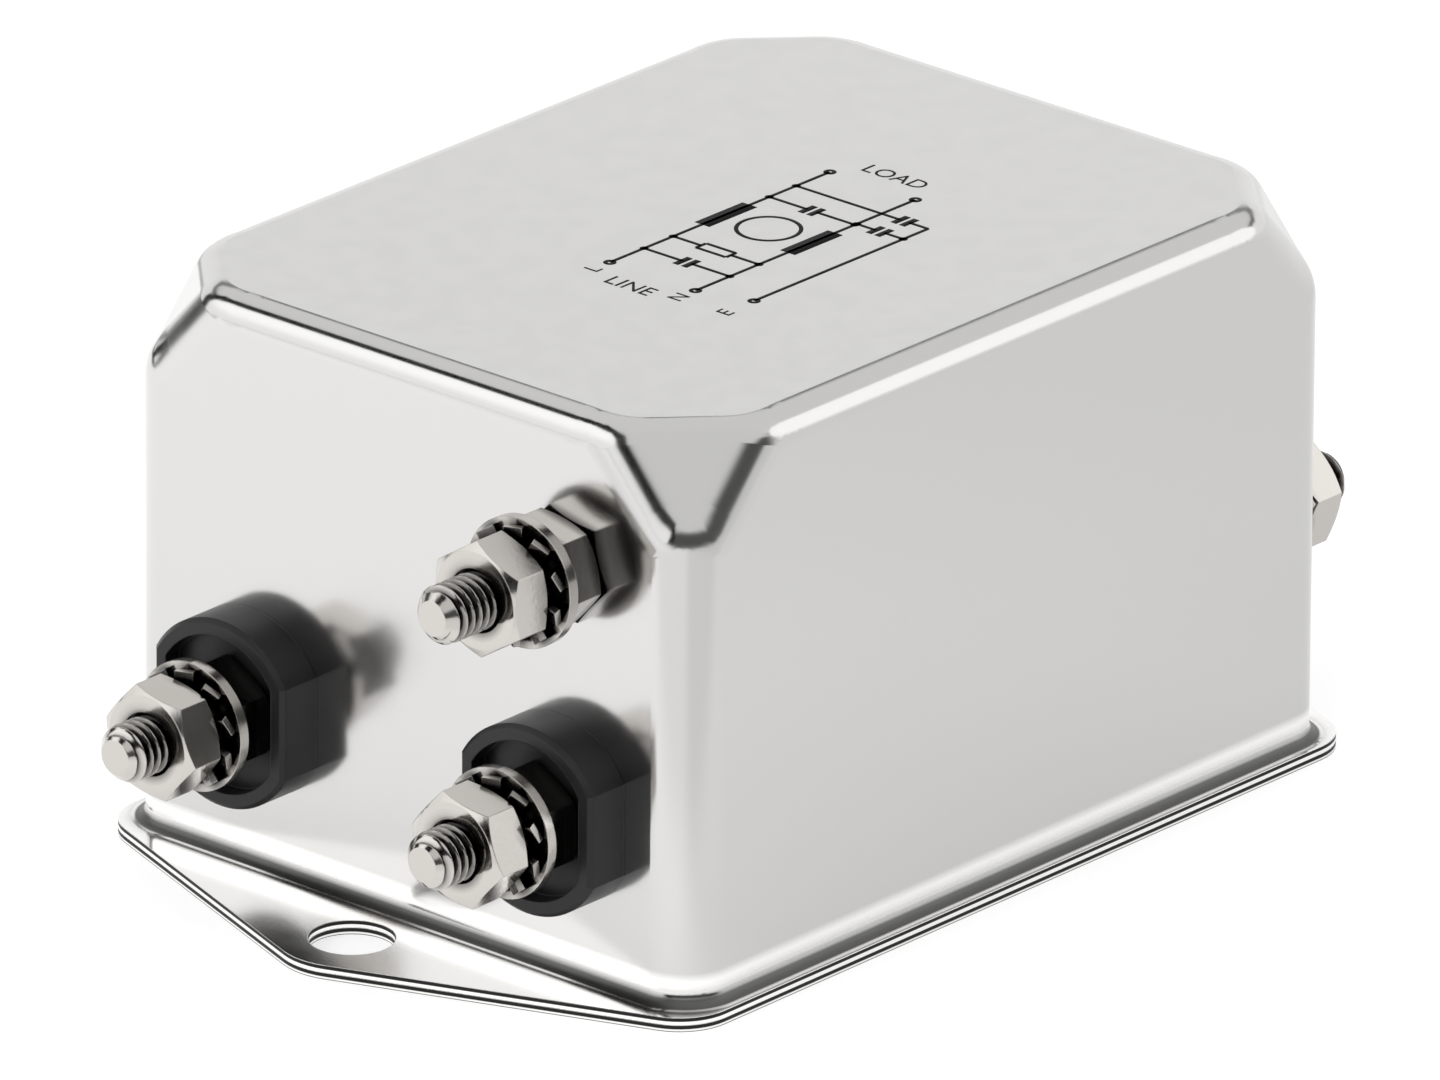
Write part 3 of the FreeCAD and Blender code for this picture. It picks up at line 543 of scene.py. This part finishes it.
class StudTree(ShapeTree):
    """A stud that stands on its head along +Z: head, plain shank and a cut thread up to the tip.

    Attributes:
        ROOT_FLAT: Share of a thread's half pitch that is flat at the root.
        CREST_START: Share of the half pitch at which the crest starts.
        END_ROW: Share of the grid's length within which its end rows are drawn into the axis.
        WELD: Distance within which points become one.
        SHANK_SIDES: Points round the shank.
        SHANK_OVERLAP: Pitches by which the shank is longer than the way from the head to the thread.
        SHANK_FOOT: Share of the head's height at which the shank starts.
    """

    ROOT_FLAT = 0.06
    CREST_START = 0.90
    END_ROW = 1e-5
    WELD = 1e-6
    SHANK_SIDES = 32
    SHANK_OVERLAP = 2.0
    SHANK_FOOT = 0.8

    def __init__(self, material: bpy.types.Material) -> None:
        """Build the whole tree.

        Args:
            material: Finish of the stud.
        """
        super().__init__("threaded_stud")
        self.length = self.size("Length")
        self.crest = self.size("Thread Radius")
        self.root = self.size("Root Radius")
        self.pitch = self.size("Pitch")
        self.cut = self.size("Visible Thread")
        self.chamfer = self.size("Chamfer")
        self.head = self.size("Head Height")
        self.corner = self.size("Head Corner")
        self.around = self.size("Around")
        self.rows = self.size("Rows")
        self.start = self.sum("SUBTRACT", self.length, self.cut)
        joined = self.add("GeometryNodeJoinGeometry")
        for part in (self._thread(), self._shank(), self._head()):
            self.tree.links.new(part, joined.inputs[0])
        self.finish(joined.outputs[0], material)

    def _thread(self) -> Socket:
        """Wind a grid round the axis and push its points out to the thread's form.

        Returns:
            The thread, closed over the tip.
        """
        columns = self.sum("ADD", self.around, 1.0)
        grid = self.add("GeometryNodeMeshGrid", Size_X=1.0, Size_Y=1.0, Vertices_X=columns,
                        Vertices_Y=self.rows)
        where = self.add("ShaderNodeSeparateXYZ", Vector=self.add("GeometryNodeInputPosition").outputs[0])
        turn = self.sum("ADD", where.outputs["X"], 0.5)
        share = self.sum("ADD", where.outputs["Y"], 0.5)
        last = self.sum("SUBTRACT", self.rows, 1.0)
        row = self.sum("DIVIDE", self.sum("MULTIPLY", share, last), self.sum("SUBTRACT", last, 1.0))
        height = self.sum("MULTIPLY_ADD", self.sum("MINIMUM", row, 1.0), self.cut, self.start)
        after = self.sum("GREATER_THAN", share, self.END_ROW)
        before = self.sum("LESS_THAN", share, 1.0 - self.END_ROW)
        radius = self.sum("MULTIPLY", self._radius(turn, height), self.sum("MULTIPLY", after, before))
        angle = self.sum("MULTIPLY", turn, math.tau)
        place = self.add("ShaderNodeCombineXYZ",
                         X=self.sum("MULTIPLY", radius, self.sum("COSINE", angle)),
                         Y=self.sum("MULTIPLY", radius, self.sum("SINE", angle)), Z=height)
        wound = self.add("GeometryNodeSetPosition", Geometry=grid.outputs["Mesh"],
                         Position=place.outputs[0])
        return self.add("GeometryNodeMergeByDistance", Geometry=wound.outputs[0],
                        Distance=self.WELD).outputs[0]

    def _radius(self, turn: Socket, height: Socket) -> Socket:
        """Work out the radius of the thread's surface.

        Args:
            turn: Share of a turn round the axis.
            height: Height along the axis.

        Returns:
            The thread's radius, or the tip's chamfer where that is smaller.
        """
        phase = self.sum("FRACT", self.sum("SUBTRACT", self.sum("DIVIDE", height, self.pitch), turn))
        flank = self.sum("ABSOLUTE", self.sum("MULTIPLY_ADD", phase, 2.0, -1.0))
        flat = self.add("ShaderNodeMapRange", Value=flank, From_Min=self.ROOT_FLAT,
                        From_Max=self.CREST_START)
        depth = self.sum("SUBTRACT", self.crest, self.root)
        threaded = self.sum("MULTIPLY_ADD", flat.outputs[0], depth, self.root)
        tip = self.sum("SUBTRACT", self.crest, self.chamfer)
        return self.sum("MINIMUM", threaded,
                        self.sum("ADD", tip, self.sum("SUBTRACT", self.length, height)))

    def _shank(self) -> Socket:
        """Add the plain shank between the head and the thread.

        Returns:
            The shank.
        """
        overlap = self.sum("MULTIPLY", self.pitch, self.SHANK_OVERLAP)
        depth = self.sum("ADD", self.sum("SUBTRACT", self.start, self.head), overlap)
        foot = self.sum("MULTIPLY", self.head, self.SHANK_FOOT)
        return self._cylinder(self.SHANK_SIDES, self.root, depth, self.sum("MULTIPLY_ADD", depth, 0.5, foot))

    def _head(self) -> Socket:
        """Return the hexagon head."""
        return self._cylinder(HEXAGON_SIDES, self.corner, self.head, self.sum("MULTIPLY", self.head, 0.5))

    def _cylinder(self, sides: int, radius: Socket, depth: Socket, middle: Socket) -> Socket:
        """Add a cylinder on the axis.

        Args:
            sides: Points round it.
            radius: Radius at the points.
            depth: Its height.
            middle: Height of its middle.

        Returns:
            The cylinder.
        """
        solid = self.add("GeometryNodeMeshCylinder", Vertices=sides, Radius=radius, Depth=depth)
        place = self.add("ShaderNodeCombineXYZ", Z=middle)
        return self.add("GeometryNodeTransform", Geometry=solid.outputs["Mesh"],
                        Translation=place.outputs[0]).outputs[0]


@dataclass
class Terminal:
    """One M4 stud with a cut thread along its free end.

    Attributes:
        node: Frame node of the stud.
        end: End wall that it stands on.
        thread_radius: Radius at the crests.
        root_radius: Radius at the roots.
        pitch: Pitch of the thread.
        visible_thread: Length of thread that is cut, from the tip inwards.
        chamfer: Chamfer of the tip.
        head_height: Height of the hexagon head inside the can.
        head_flats: Width of the head across its flats.
        around: Points round the thread.
        per_turn: Rows of points to one pitch.
        smooth_degrees: Largest angle between faces that still shades smooth.
    """

    node: str
    end: End
    thread_radius: float = 2.0 * MM
    root_radius: float = 1.45 * MM
    pitch: float = 0.7 * MM
    visible_thread: float = 5.2 * MM
    chamfer: float = 0.8 * MM
    head_height: float = 2.8 * MM
    head_flats: float = 7.0 * MM
    around: int = 48
    per_turn: int = 14
    smooth_degrees: float = 24.0

    def build(self, tree: StudTree, material: bpy.types.Material) -> bpy.types.Object:
        """Make the stud and let it stand for its frame node.

        Args:
            tree: The stud's tree.
            material: Finish of the stud.

        Returns:
            The finished stud.
        """
        low, high = (Vector(corner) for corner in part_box(self.node))
        middle = (low + high) / 2
        mesh = tree.make_mesh(f"threaded_{self.node}", {
            "Length": high.x - low.x,
            "Thread Radius": self.thread_radius,
            "Root Radius": self.root_radius,
            "Pitch": self.pitch,
            "Visible Thread": self.visible_thread,
            "Chamfer": self.chamfer,
            "Head Height": self.head_height,
            "Head Corner": self.head_flats / 2 / math.cos(math.pi / HEXAGON_SIDES),
            "Around": self.around,
            "Rows": round(self.visible_thread / self.pitch * self.per_turn),
        })
        foot = high.x if self.end is End.LINE else low.x
        outward = Matrix.Rotation(math.radians(90 * self.end.value), 4, "Y")
        mesh.transform(Matrix.Translation((foot, middle.y, middle.z)) @ outward)
        smooth_by_angle(mesh, self.smooth_degrees)
        stud = piece(f"threaded_{self.node}", mesh, material)
        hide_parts(self.node)
        return stud


STUDS: tuple[Terminal, ...] = (
    Terminal("line_stud", End.LINE),
    Terminal("neutral_stud", End.LINE),
    Terminal("line_side_earth_stud", End.LINE),
    Terminal("load_line_stud", End.LOAD),
    Terminal("load_neutral_stud", End.LOAD),
    Terminal("load_side_earth_stud", End.LOAD),
)


# Print on the can's top


@dataclass(frozen=True)
class Word:
    """One word on the top face.

    Attributes:
        text: The word.
        along: Place of its middle along X, in millimetres.
        across: Place of its middle along Y, in millimetres.
        height: Height of the letters, in millimetres.
        turn: Turn of the baseline from +X, in degrees.
    """

    text: str
    along: float
    across: float
    height: float
    turn: float = 0.0


@dataclass
class TopPrint:
    """A plain circuit diagram of a line filter, with the names of its two sides.

    Sizes are millimetres on the top face, X along the can and Y across it.

    Attributes:
        material: The ink.
        stroke: Width of the thin lines.
        ink_depth: Thickness of the ink.
        sink: How much of the thickness lies under the sheet's surface.
        line_side: Place along X where the conductors start.
        load_side: Place along X where they end.
        upper: Place of the first conductor across the can.
        lower: Place of the second conductor.
        earth: Place of the earth line.
        earth_start: Place along X where the earth line starts.
        coil: Place along X of the choke's middle.
        coil_half_length: Half the length of a coil's filled bar.
        coil_height: Width of the bar.
        core_radius: Radius of the choke's core.
        plate_length: Length of a capacitor's plate.
        plate_gap: Distance between its two plates.
        plate_stroke: Width of the plate's line.
        line_branch: Place along X of the first capacitor between the conductors.
        resistor_branch: Place along X of the resistor.
        load_branch: Place along X of the second capacitor.
        earth_branches: Places along X of the capacitors to the earth line.
        resistor_half_length: Half the length of the resistor.
        resistor_half_width: Half its width.
        terminal_radius: Radius of the terminal marks.
        junction_radius: Radius of the dots where branches leave.
        core_points: Points round the core.
        dot_points: Points round each mark and dot.
        font_size_per_height: Font size at which letters stand one high.
        font_resolution: Steps to each curve of a letter.
        words: Words round the diagram.
    """

    material: bpy.types.Material
    stroke: float = 0.30
    ink_depth: float = 0.015
    sink: float = 0.005
    line_side: float = -10.6
    load_side: float = 11.4
    upper: float = 1.5
    lower: float = -6.0
    earth: float = -10.05
    earth_start: float = -9.4
    coil: float = 0.95
    coil_half_length: float = 2.4
    coil_height: float = 1.3
    core_radius: float = 2.15
    plate_length: float = 1.5
    plate_gap: float = 0.75
    plate_stroke: float = 0.51
    line_branch: float = -7.2
    resistor_branch: float = -4.3
    load_branch: float = 5.3
    earth_branches: Pair = (5.5, 8.0)
    resistor_half_length: float = 1.3
    resistor_half_width: float = 0.5
    terminal_radius: float = 0.3
    junction_radius: float = 0.16
    core_points: int = 48
    dot_points: int = 20
    font_size_per_height: float = 1.35
    font_resolution: int = 4
    words: tuple[Word, ...] = (
        Word("LINE", -12.9, -2.3, 1.45, -90.0),
        Word("LOAD", 13.6, -2.3, 1.45, -90.0),
        Word("L", -12.2, 1.5, 1.25),
        Word("N", -12.2, -6.0, 1.25),
        Word("E", -12.2, -10.05, 1.25),
    )

    def build(self) -> list[bpy.types.Object]:
        """Print the diagram and its words on the top face.

        Returns:
            The printed pieces.
        """
        printed = [
            self._sweep("print_conductors", self._conductors(), self.stroke),
            self._sweep("print_plates", self._plates(), self.plate_stroke),
            self._sweep("print_coils", self._coils(), self.coil_height),
            self._sweep("print_rings", self._rings(), self.stroke, closed=True),
        ]
        printed += [self._word(word) for word in self.words]
        return printed

    @property
    def _middle(self) -> float:
        """Return the place halfway between the two conductors."""
        return (self.upper + self.lower) / 2

    @property
    def _earth_middle(self) -> float:
        """Return the place halfway between the second conductor and the earth line."""
        return (self.lower + self.earth) / 2

    def _conductors(self) -> list[Segment]:
        """List the thin straight lines.

        Returns:
            The conductors, the earth line, the branches and the resistor's outline.
        """
        lines = [
            ((self.line_side, self.upper), (self.load_side, self.upper)),
            ((self.line_side, self.lower), (self.load_side, self.lower)),
            ((self.earth_start, self.earth), (self.earth_branches[1], self.earth)),
        ]
        gap = self.plate_gap / 2
        for branch in (self.line_branch, self.load_branch):
            lines += self._split(branch, self.upper, self.lower, self._middle, gap)
        lines += self._split(self.resistor_branch, self.upper, self.lower, self._middle,
                             self.resistor_half_length)
        low, high = self._middle - self.resistor_half_length, self._middle + self.resistor_half_length
        left = self.resistor_branch - self.resistor_half_width
        right = self.resistor_branch + self.resistor_half_width
        corners = [(left, low), (left, high), (right, high), (right, low)]
        lines += list(zip(corners, corners[1:] + corners[:1]))
        for branch, start in zip(self.earth_branches, (self.lower, self.upper)):
            lines += self._split(branch, start, self.earth, self._earth_middle, gap)
        return lines

    @staticmethod
    def _split(branch: float, start: float, stop: float, middle: float, half_gap: float) -> list[Segment]:
        """Draw a branch across the can with a gap in it.

        Args:
            branch: Place of the branch along X.
            start: Where it starts.
            stop: Where it ends.
            middle: Middle of the gap.
            half_gap: Half the gap's length.

        Returns:
            The two lines.
        """
        return [((branch, start), (branch, middle + half_gap)),
                ((branch, middle - half_gap), (branch, stop))]

    def _plates(self) -> list[Segment]:
        """List the two plates of each capacitor.

        Returns:
            The plates.
        """
        half, gap = self.plate_length / 2, self.plate_gap / 2
        places = [(self.line_branch, self._middle), (self.load_branch, self._middle)]
        places += [(branch, self._earth_middle) for branch in self.earth_branches]
        return [((x - half, y + side * gap), (x + half, y + side * gap))
                for x, y in places for side in (-1, 1)]

    def _coils(self) -> list[Segment]:
        """List the two filled bars of the choke."""
        near, far = self.coil - self.coil_half_length, self.coil + self.coil_half_length
        return [((near, y), (far, y)) for y in (self.upper, self.lower)]

    def _rings(self) -> list[list[Pair]]:
        """List the choke's core, the terminal marks and the dots where branches leave.

        Returns:
            The points of each ring.
        """
        both = (self.upper, self.lower)
        branches = (self.line_branch, self.resistor_branch, self.load_branch)
        marks = [(x, y) for x in (self.line_side, self.load_side) for y in both]
        marks.append((self.earth_start, self.earth))
        dots = [(x, y) for x in branches for y in both]
        dots += zip(self.earth_branches, (self.lower, self.upper))
        dots.append((self.earth_branches[0], self.earth))
        rings = [self._circle((self.coil, self._middle), self.core_radius, self.core_points)]
        rings += [self._circle(place, self.terminal_radius, self.dot_points) for place in marks]
        rings += [self._circle(place, self.junction_radius, self.dot_points) for place in dots]
        return rings

    @staticmethod
    def _circle(middle: Pair, radius: float, count: int) -> list[Pair]:
        """List the points of a circle.

        Args:
            middle: Its middle.
            radius: Its radius.
            count: Number of points.

        Returns:
            The points.
        """
        angles = [math.tau * number / count for number in range(count)]
        return [(middle[0] + radius * math.cos(angle), middle[1] + radius * math.sin(angle))
                for angle in angles]

    def _sweep(self, name: str, runs: list[Segment] | list[list[Pair]], width: float,
               closed: bool = False) -> bpy.types.Object:
        """Sweep a flat nib of ink along runs of points.

        Args:
            name: Name of the printed piece.
            runs: Points of each run.
            width: Width of the stroke.
            closed: Whether each run ends where it starts.

        Returns:
            The printed piece.
        """
        curve = bpy.data.curves.new(name, "CURVE")
        curve.dimensions = "3D"
        for run in runs:
            spline = curve.splines.new("POLY")
            spline.points.add(len(run) - 1)
            spline.use_cyclic_u = closed
            for point, (x, y) in zip(spline.points, run):
                point.co = (x * MM, y * MM, 0.0, 1.0)
        tree = ShapeTree(f"{name}_nib")
        wide, deep = tree.size("Width"), tree.size("Depth")
        nib = tree.add("GeometryNodeCurvePrimitiveQuadrilateral", Width=wide, Height=deep)
        swept = tree.add("GeometryNodeCurveToMesh", Curve=tree.entry.outputs[0],
                         Profile_Curve=nib.outputs[0], Fill_Caps=True)
        tree.finish(swept.outputs[0], self.material)
        mesh = tree.make_mesh(name, {"Width": width * MM, "Depth": self.ink_depth * MM}, curve)
        mesh.transform(Matrix.Translation((0, 0, self._height())))
        return piece(name, mesh, self.material)

    def _word(self, word: Word) -> bpy.types.Object:
        """Print one word, centred on its place.

        Args:
            word: The word.

        Returns:
            The printed word.
        """
        font = bpy.data.curves.new(f"print_{word.text}", "FONT")
        font.body = word.text
        font.align_x = "CENTER"
        font.align_y = "CENTER"
        font.size = word.height * self.font_size_per_height * MM
        font.extrude = self.ink_depth / 2 * MM
        font.resolution_u = self.font_resolution
        mesh = plain_mesh(bpy.data.objects.new(f"print_{word.text}_holder", font))
        place = Matrix.Translation((word.along * MM, word.across * MM, self._height()))
        mesh.transform(place @ Matrix.Rotation(math.radians(word.turn), 4, "Z"))
        return piece(f"print_{word.text}", mesh, self.material)

    def _height(self) -> float:
        """Return the height of the ink's middle."""
        top = Vector(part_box("drawn_can")[1]).z
        return top + (self.ink_depth / 2 - self.sink) * MM


# Camera, floor and light


@dataclass(frozen=True)
class PhotoCamera:
    """The photograph's camera: a long lens from the front left, fitted to the object's edges.

    Attributes:
        azimuth: Turn of the camera from -X towards -Y, in degrees.
        elevation: Height of the camera, in degrees.
        roll: Roll of the picture, in degrees.
        distance: Distance to the object's origin.
        lens: Focal length in millimetres on a sensor 36 wide.
        origin_right: How far right of the axis the origin appears.
        origin_up: How far above the axis the origin appears.
        clip_start: Nearest distance that is seen.
        clip_end: Farthest distance that is seen.
    """

    azimuth: float = 41.17
    elevation: float = 22.16
    roll: float = 0.389
    distance: float = 1.7468
    lens: float = 656.4
    origin_right: float = 0.6347 * MM
    origin_up: float = -16.492 * MM
    clip_start: float = 0.1
    clip_end: float = 20.0

    def build(self) -> bpy.types.Object:
        """Place the camera and make it the scene's own.

        Returns:
            The camera.
        """
        turn, rise, roll = (math.radians(a) for a in (self.azimuth, self.elevation, self.roll))
        back = Vector((-math.cos(turn) * math.cos(rise), -math.sin(turn) * math.cos(rise), math.sin(rise)))
        right = Vector((math.sin(turn), -math.cos(turn), 0.0))
        up = back.cross(right)
        across = right * math.cos(roll) + up * math.sin(roll)
        upward = up * math.cos(roll) - right * math.sin(roll)
        place = back * self.distance - across * self.origin_right - upward * self.origin_up
        data = bpy.data.cameras.new("photo_camera")
        data.lens = self.lens
        data.clip_start = self.clip_start
        data.clip_end = self.clip_end
        camera = bpy.data.objects.new("photo_camera", data)
        rotation = Matrix((across, upward, back)).transposed().to_4x4()
        camera.matrix_world = Matrix.Translation(place) @ rotation
        bpy.context.scene.collection.objects.link(camera)
        bpy.context.scene.camera = camera
        return camera


@dataclass(frozen=True)
class Softbox:
    """A square area lamp that looks at the object.

    Attributes:
        name: Name of the lamp.
        azimuth: Direction of the lamp from +X towards +Y, in degrees.
        elevation: Height of the lamp, in degrees.
        distance: Distance from the object.
        size: Side of the lamp.
        power: Power in watts.
        aim_height: Height above the floor that it looks at.
    """

    name: str
    azimuth: float
    elevation: float
    distance: float
    size: float
    power: float
    aim_height: float = 0.02

    def build(self) -> bpy.types.Object:
        """Hang the lamp.

        Returns:
            The lamp.
        """
        data = bpy.data.lights.new(self.name, "AREA")
        data.size = self.size
        data.energy = self.power
        lamp = bpy.data.objects.new(self.name, data)
        lamp.visible_glossy = False
        turn, rise = math.radians(self.azimuth), math.radians(self.elevation)
        away = Vector((math.cos(turn) * math.cos(rise), math.sin(turn) * math.cos(rise), math.sin(rise)))
        lamp.location = away * self.distance + Vector((0, 0, self.aim_height))
        lamp.rotation_euler = away.to_track_quat("Z", "Y").to_euler()
        bpy.context.scene.collection.objects.link(lamp)
        return lamp


@dataclass(frozen=True)
class LightCard:
    """A round card of light in the tent.

    Attributes:
        toward: Direction of its middle, seen from the object.
        radius: Angle from its middle to its edge, in degrees.
        level: Brightness.
        rim: Width of its black frame, in degrees.
        foot: Share of the brightness that is left at its foot.
        graded: Heights of the direction between which the foot's brightness becomes the full one.
        soft_edge: How far the edges are spread either side, as a cosine.
    """

    toward: Triple
    radius: float
    level: float
    rim: float = 0.0
    foot: float = 1.0
    graded: Pair = (0.15, 0.55)
    soft_edge: float = 0.006

    def lay(self, maths: NodeMaths, direction: Socket, behind: Socket) -> Socket:
        """Lay the card over what lies behind it.

        Args:
            maths: The world's tree.
            direction: Direction that is looked at.
            behind: Brightness behind the card.

        Returns:
            The brightness with the card in place.
        """
        facing = maths.along(direction, tuple(Vector(self.toward).normalized()))
        card_edge = math.cos(math.radians(self.radius))
        frame_edge = math.cos(math.radians(self.radius + self.rim))
        shown = maths.step(facing, card_edge - self.soft_edge, card_edge + self.soft_edge)
        clear = maths.step(facing, frame_edge - self.soft_edge, frame_edge + self.soft_edge, 1.0, 0.0)
        bright = maths.step(maths.along(direction, UP), *self.graded, self.level * self.foot, self.level)
        return maths.sum("MULTIPLY_ADD", behind, clear, maths.sum("MULTIPLY", bright, shown))


@dataclass(frozen=True)
class Tent:
    """A tent with light cards and a dark camera side, plain white to the camera itself.

    Attributes:
        behind: Brightness behind the object, by the height of the direction.
        camera_side: The same on the camera's side.
        turn: Reach towards the camera between which one side becomes the other.
        cards: Light cards.
    """

    behind: tuple[Pair, ...] = (
        (0.0, 1.10), (0.415, 1.10), (0.435, 0.12), (0.50, 0.12), (0.53, 0.90), (1.0, 0.90))
    camera_side: tuple[Pair, ...] = ((0.0, 0.10), (0.31, 0.10), (0.45, 0.88), (1.0, 0.88))
    turn: Pair = (0.05, 0.35)
    cards: tuple[LightCard, ...] = (
        LightCard((-0.755, 0.624, 0.2), 38.5, 1.55, rim=13.0, foot=0.8),
        LightCard((0.697, -0.61, 0.37), 17.0, 1.5),
    )

    def build(self) -> bpy.types.World:
        """Make the tent the scene's world.

        Returns:
            The world.
        """
        world = bpy.data.worlds.new("tent")
        bpy.context.scene.world = world
        world.use_nodes = True
        maths = NodeMaths(world.node_tree)
        direction = maths.add("ShaderNodeTexCoord").outputs["Generated"]
        height = maths.along(direction, UP)
        far = maths.ramp(height, self.behind)
        close = maths.ramp(height, self.camera_side)
        turned = maths.step(maths.along(direction, NEARER), *self.turn)
        level = maths.sum("MULTIPLY_ADD", turned, maths.sum("SUBTRACT", close, far), far)
        for card in self.cards:
            level = card.lay(maths, direction, level)
        seen = maths.add("ShaderNodeLightPath").outputs["Is Camera Ray"]
        sky = world.node_tree.nodes["Background"]
        maths.feed(sky.inputs["Color"], (1.0, 1.0, 1.0, 1.0))
        maths.feed(sky.inputs["Strength"],
                   maths.sum("MULTIPLY_ADD", seen, maths.sum("SUBTRACT", 1.0, level), level))
        return world


@dataclass(frozen=True)
class Grade:
    """A smooth change of a level along a direction on the floor.

    Attributes:
        toward: The direction.
        start: Distance from the origin at which the change starts.
        stop: Distance at which it is complete.
        low: Level before it.
        high: Level after it.
    """

    toward: Triple
    start: float
    stop: float
    low: float
    high: float = 1.0

    def level(self, maths: NodeMaths, place: Socket) -> Socket:
        """Work out the level at a place.

        Args:
            maths: The floor's tree.
            place: Object coordinates.

        Returns:
            The level.
        """
        return maths.step(maths.along(place, self.toward), self.start, self.stop, self.low, self.high)


@dataclass(frozen=True)
class Floor:
    """A white floor that glows like a light table and keeps the object's shadow.

    Attributes:
        size: Side of the floor.
        albedo: Share of light that it gives back to the camera and to reflections.
        pale: Colour that it has for every other ray.
        camera_glow: Brightness that it adds where the camera looks at it.
        mirror_glow: Brightness that it adds in reflections, as levels that are multiplied.
        open_floor: Shares of its light that are left far to the left and far behind. The higher one
            counts, so only the far left corner is dark.
    """

    size: float = 12.0
    albedo: float = 0.5
    pale: Triple = (0.8, 0.8, 0.8)
    camera_glow: float = 0.64
    mirror_glow: tuple[Grade, ...] = (
        Grade(ACROSS, -0.012, 0.012, 0.74, 0.53),
        Grade(NEARER, 0.058, 0.085, 1.0, 0.75),
        Grade(ACROSS, 0.05, 0.12, 1.0, 0.85),
        Grade(NEARER, -0.3, -0.1, 1.2, 1.0),
    )
    open_floor: tuple[Grade, Grade] = (
        Grade(ACROSS, -0.5, -0.3, 0.05),
        Grade(NEARER, -0.3, -0.1, 0.05),
    )

    def build(self) -> bpy.types.Object:
        """Lay the floor.

        Returns:
            The floor.
        """
        mesh = bpy.data.meshes.new("floor")
        half = self.size / 2
        corners = [(-half, -half, 0.0), (half, -half, 0.0), (half, half, 0.0), (-half, half, 0.0)]
        mesh.from_pydata(corners, [], [(0, 1, 2, 3)])
        mesh.materials.append(self._material())
        floor = bpy.data.objects.new("floor", mesh)
        bpy.context.scene.collection.objects.link(floor)
        return floor

    def _material(self) -> bpy.types.Material:
        """Make the floor's material.

        Returns:
            The material.
        """
        material = bpy.data.materials.new("floor_white")
        material.use_nodes = True
        material.node_tree.nodes.clear()
        maths = NodeMaths(material.node_tree)
        place = maths.add("ShaderNodeTexCoord").outputs["Object"]
        ray = maths.add("ShaderNodeLightPath").outputs
        left = maths.sum("MAXIMUM", *(grade.level(maths, place) for grade in self.open_floor))
        glow = left
        for grade in self.mirror_glow:
            glow = maths.sum("MULTIPLY", glow, grade.level(maths, place))
        glow = maths.sum("MULTIPLY_ADD", ray["Is Camera Ray"],
                         maths.sum("SUBTRACT", self.camera_glow, glow), glow)
        lit = maths.add("ShaderNodeEmission", Strength=glow)
        matt = maths.add("ShaderNodeBsdfDiffuse", Color=maths.sum("MULTIPLY", left, self.albedo))
        both = maths.join("ShaderNodeAddShader", matt.outputs[0], lit.outputs[0])
        pale = maths.add("ShaderNodeBsdfDiffuse", Color=(*self.pale, 1.0))
        seen = maths.sum("MAXIMUM", ray["Is Camera Ray"], ray["Is Glossy Ray"])
        choice = maths.join("ShaderNodeMixShader", seen, pale.outputs[0], both.outputs[0])
        maths.add("ShaderNodeOutputMaterial", Surface=choice.outputs[0])
        return material


@dataclass(frozen=True)
class Studio:
    """The floor, the tent, two soft lamps and the photograph's camera.

    Attributes:
        tent: The world.
        floor: The floor.
        lamps: Lamps.
        camera: The camera.
    """

    tent: Tent = Tent()
    floor: Floor = Floor()
    lamps: tuple[Softbox, ...] = (
        Softbox("key_softbox", 160.0, 28.0, 0.7, 0.45, 1.6),
        Softbox("front_softbox", -75.0, 50.0, 0.9, 0.4, 0.9),
    )
    camera: PhotoCamera = PhotoCamera()

    def build(self) -> list[bpy.types.ID]:
        """Set up the view and build everything round the object.

        Returns:
            What was set up.
        """
        bpy.context.scene.view_settings.view_transform = "Standard"
        return [part.build() for part in (self.tent, self.floor, *self.lamps, self.camera)]


def main() -> None:
    """Build and dress the filter, then its studio, and report each piece."""
    logging.basicConfig(level=logging.INFO, format="%(message)s")
    materials = {slot: finish.build() for slot, finish in FINISHES.items()}
    for name in Housing(materials).dress():
        LOG.info("dressed %s", name)
    fasteners = materials[Slot.NICKEL_FASTENERS]
    tree = StudTree(fasteners)
    for terminal in STUDS:
        stud = terminal.build(tree, fasteners)
        LOG.info("built %s with %d faces", stud.name, len(stud.data.polygons))
    for printed in TopPrint(INK.build()).build():
        LOG.info("printed %s", printed.name)
    for made in Studio().build():
        LOG.info("set up %s", made.name)


if __name__ == "__main__":
    main()
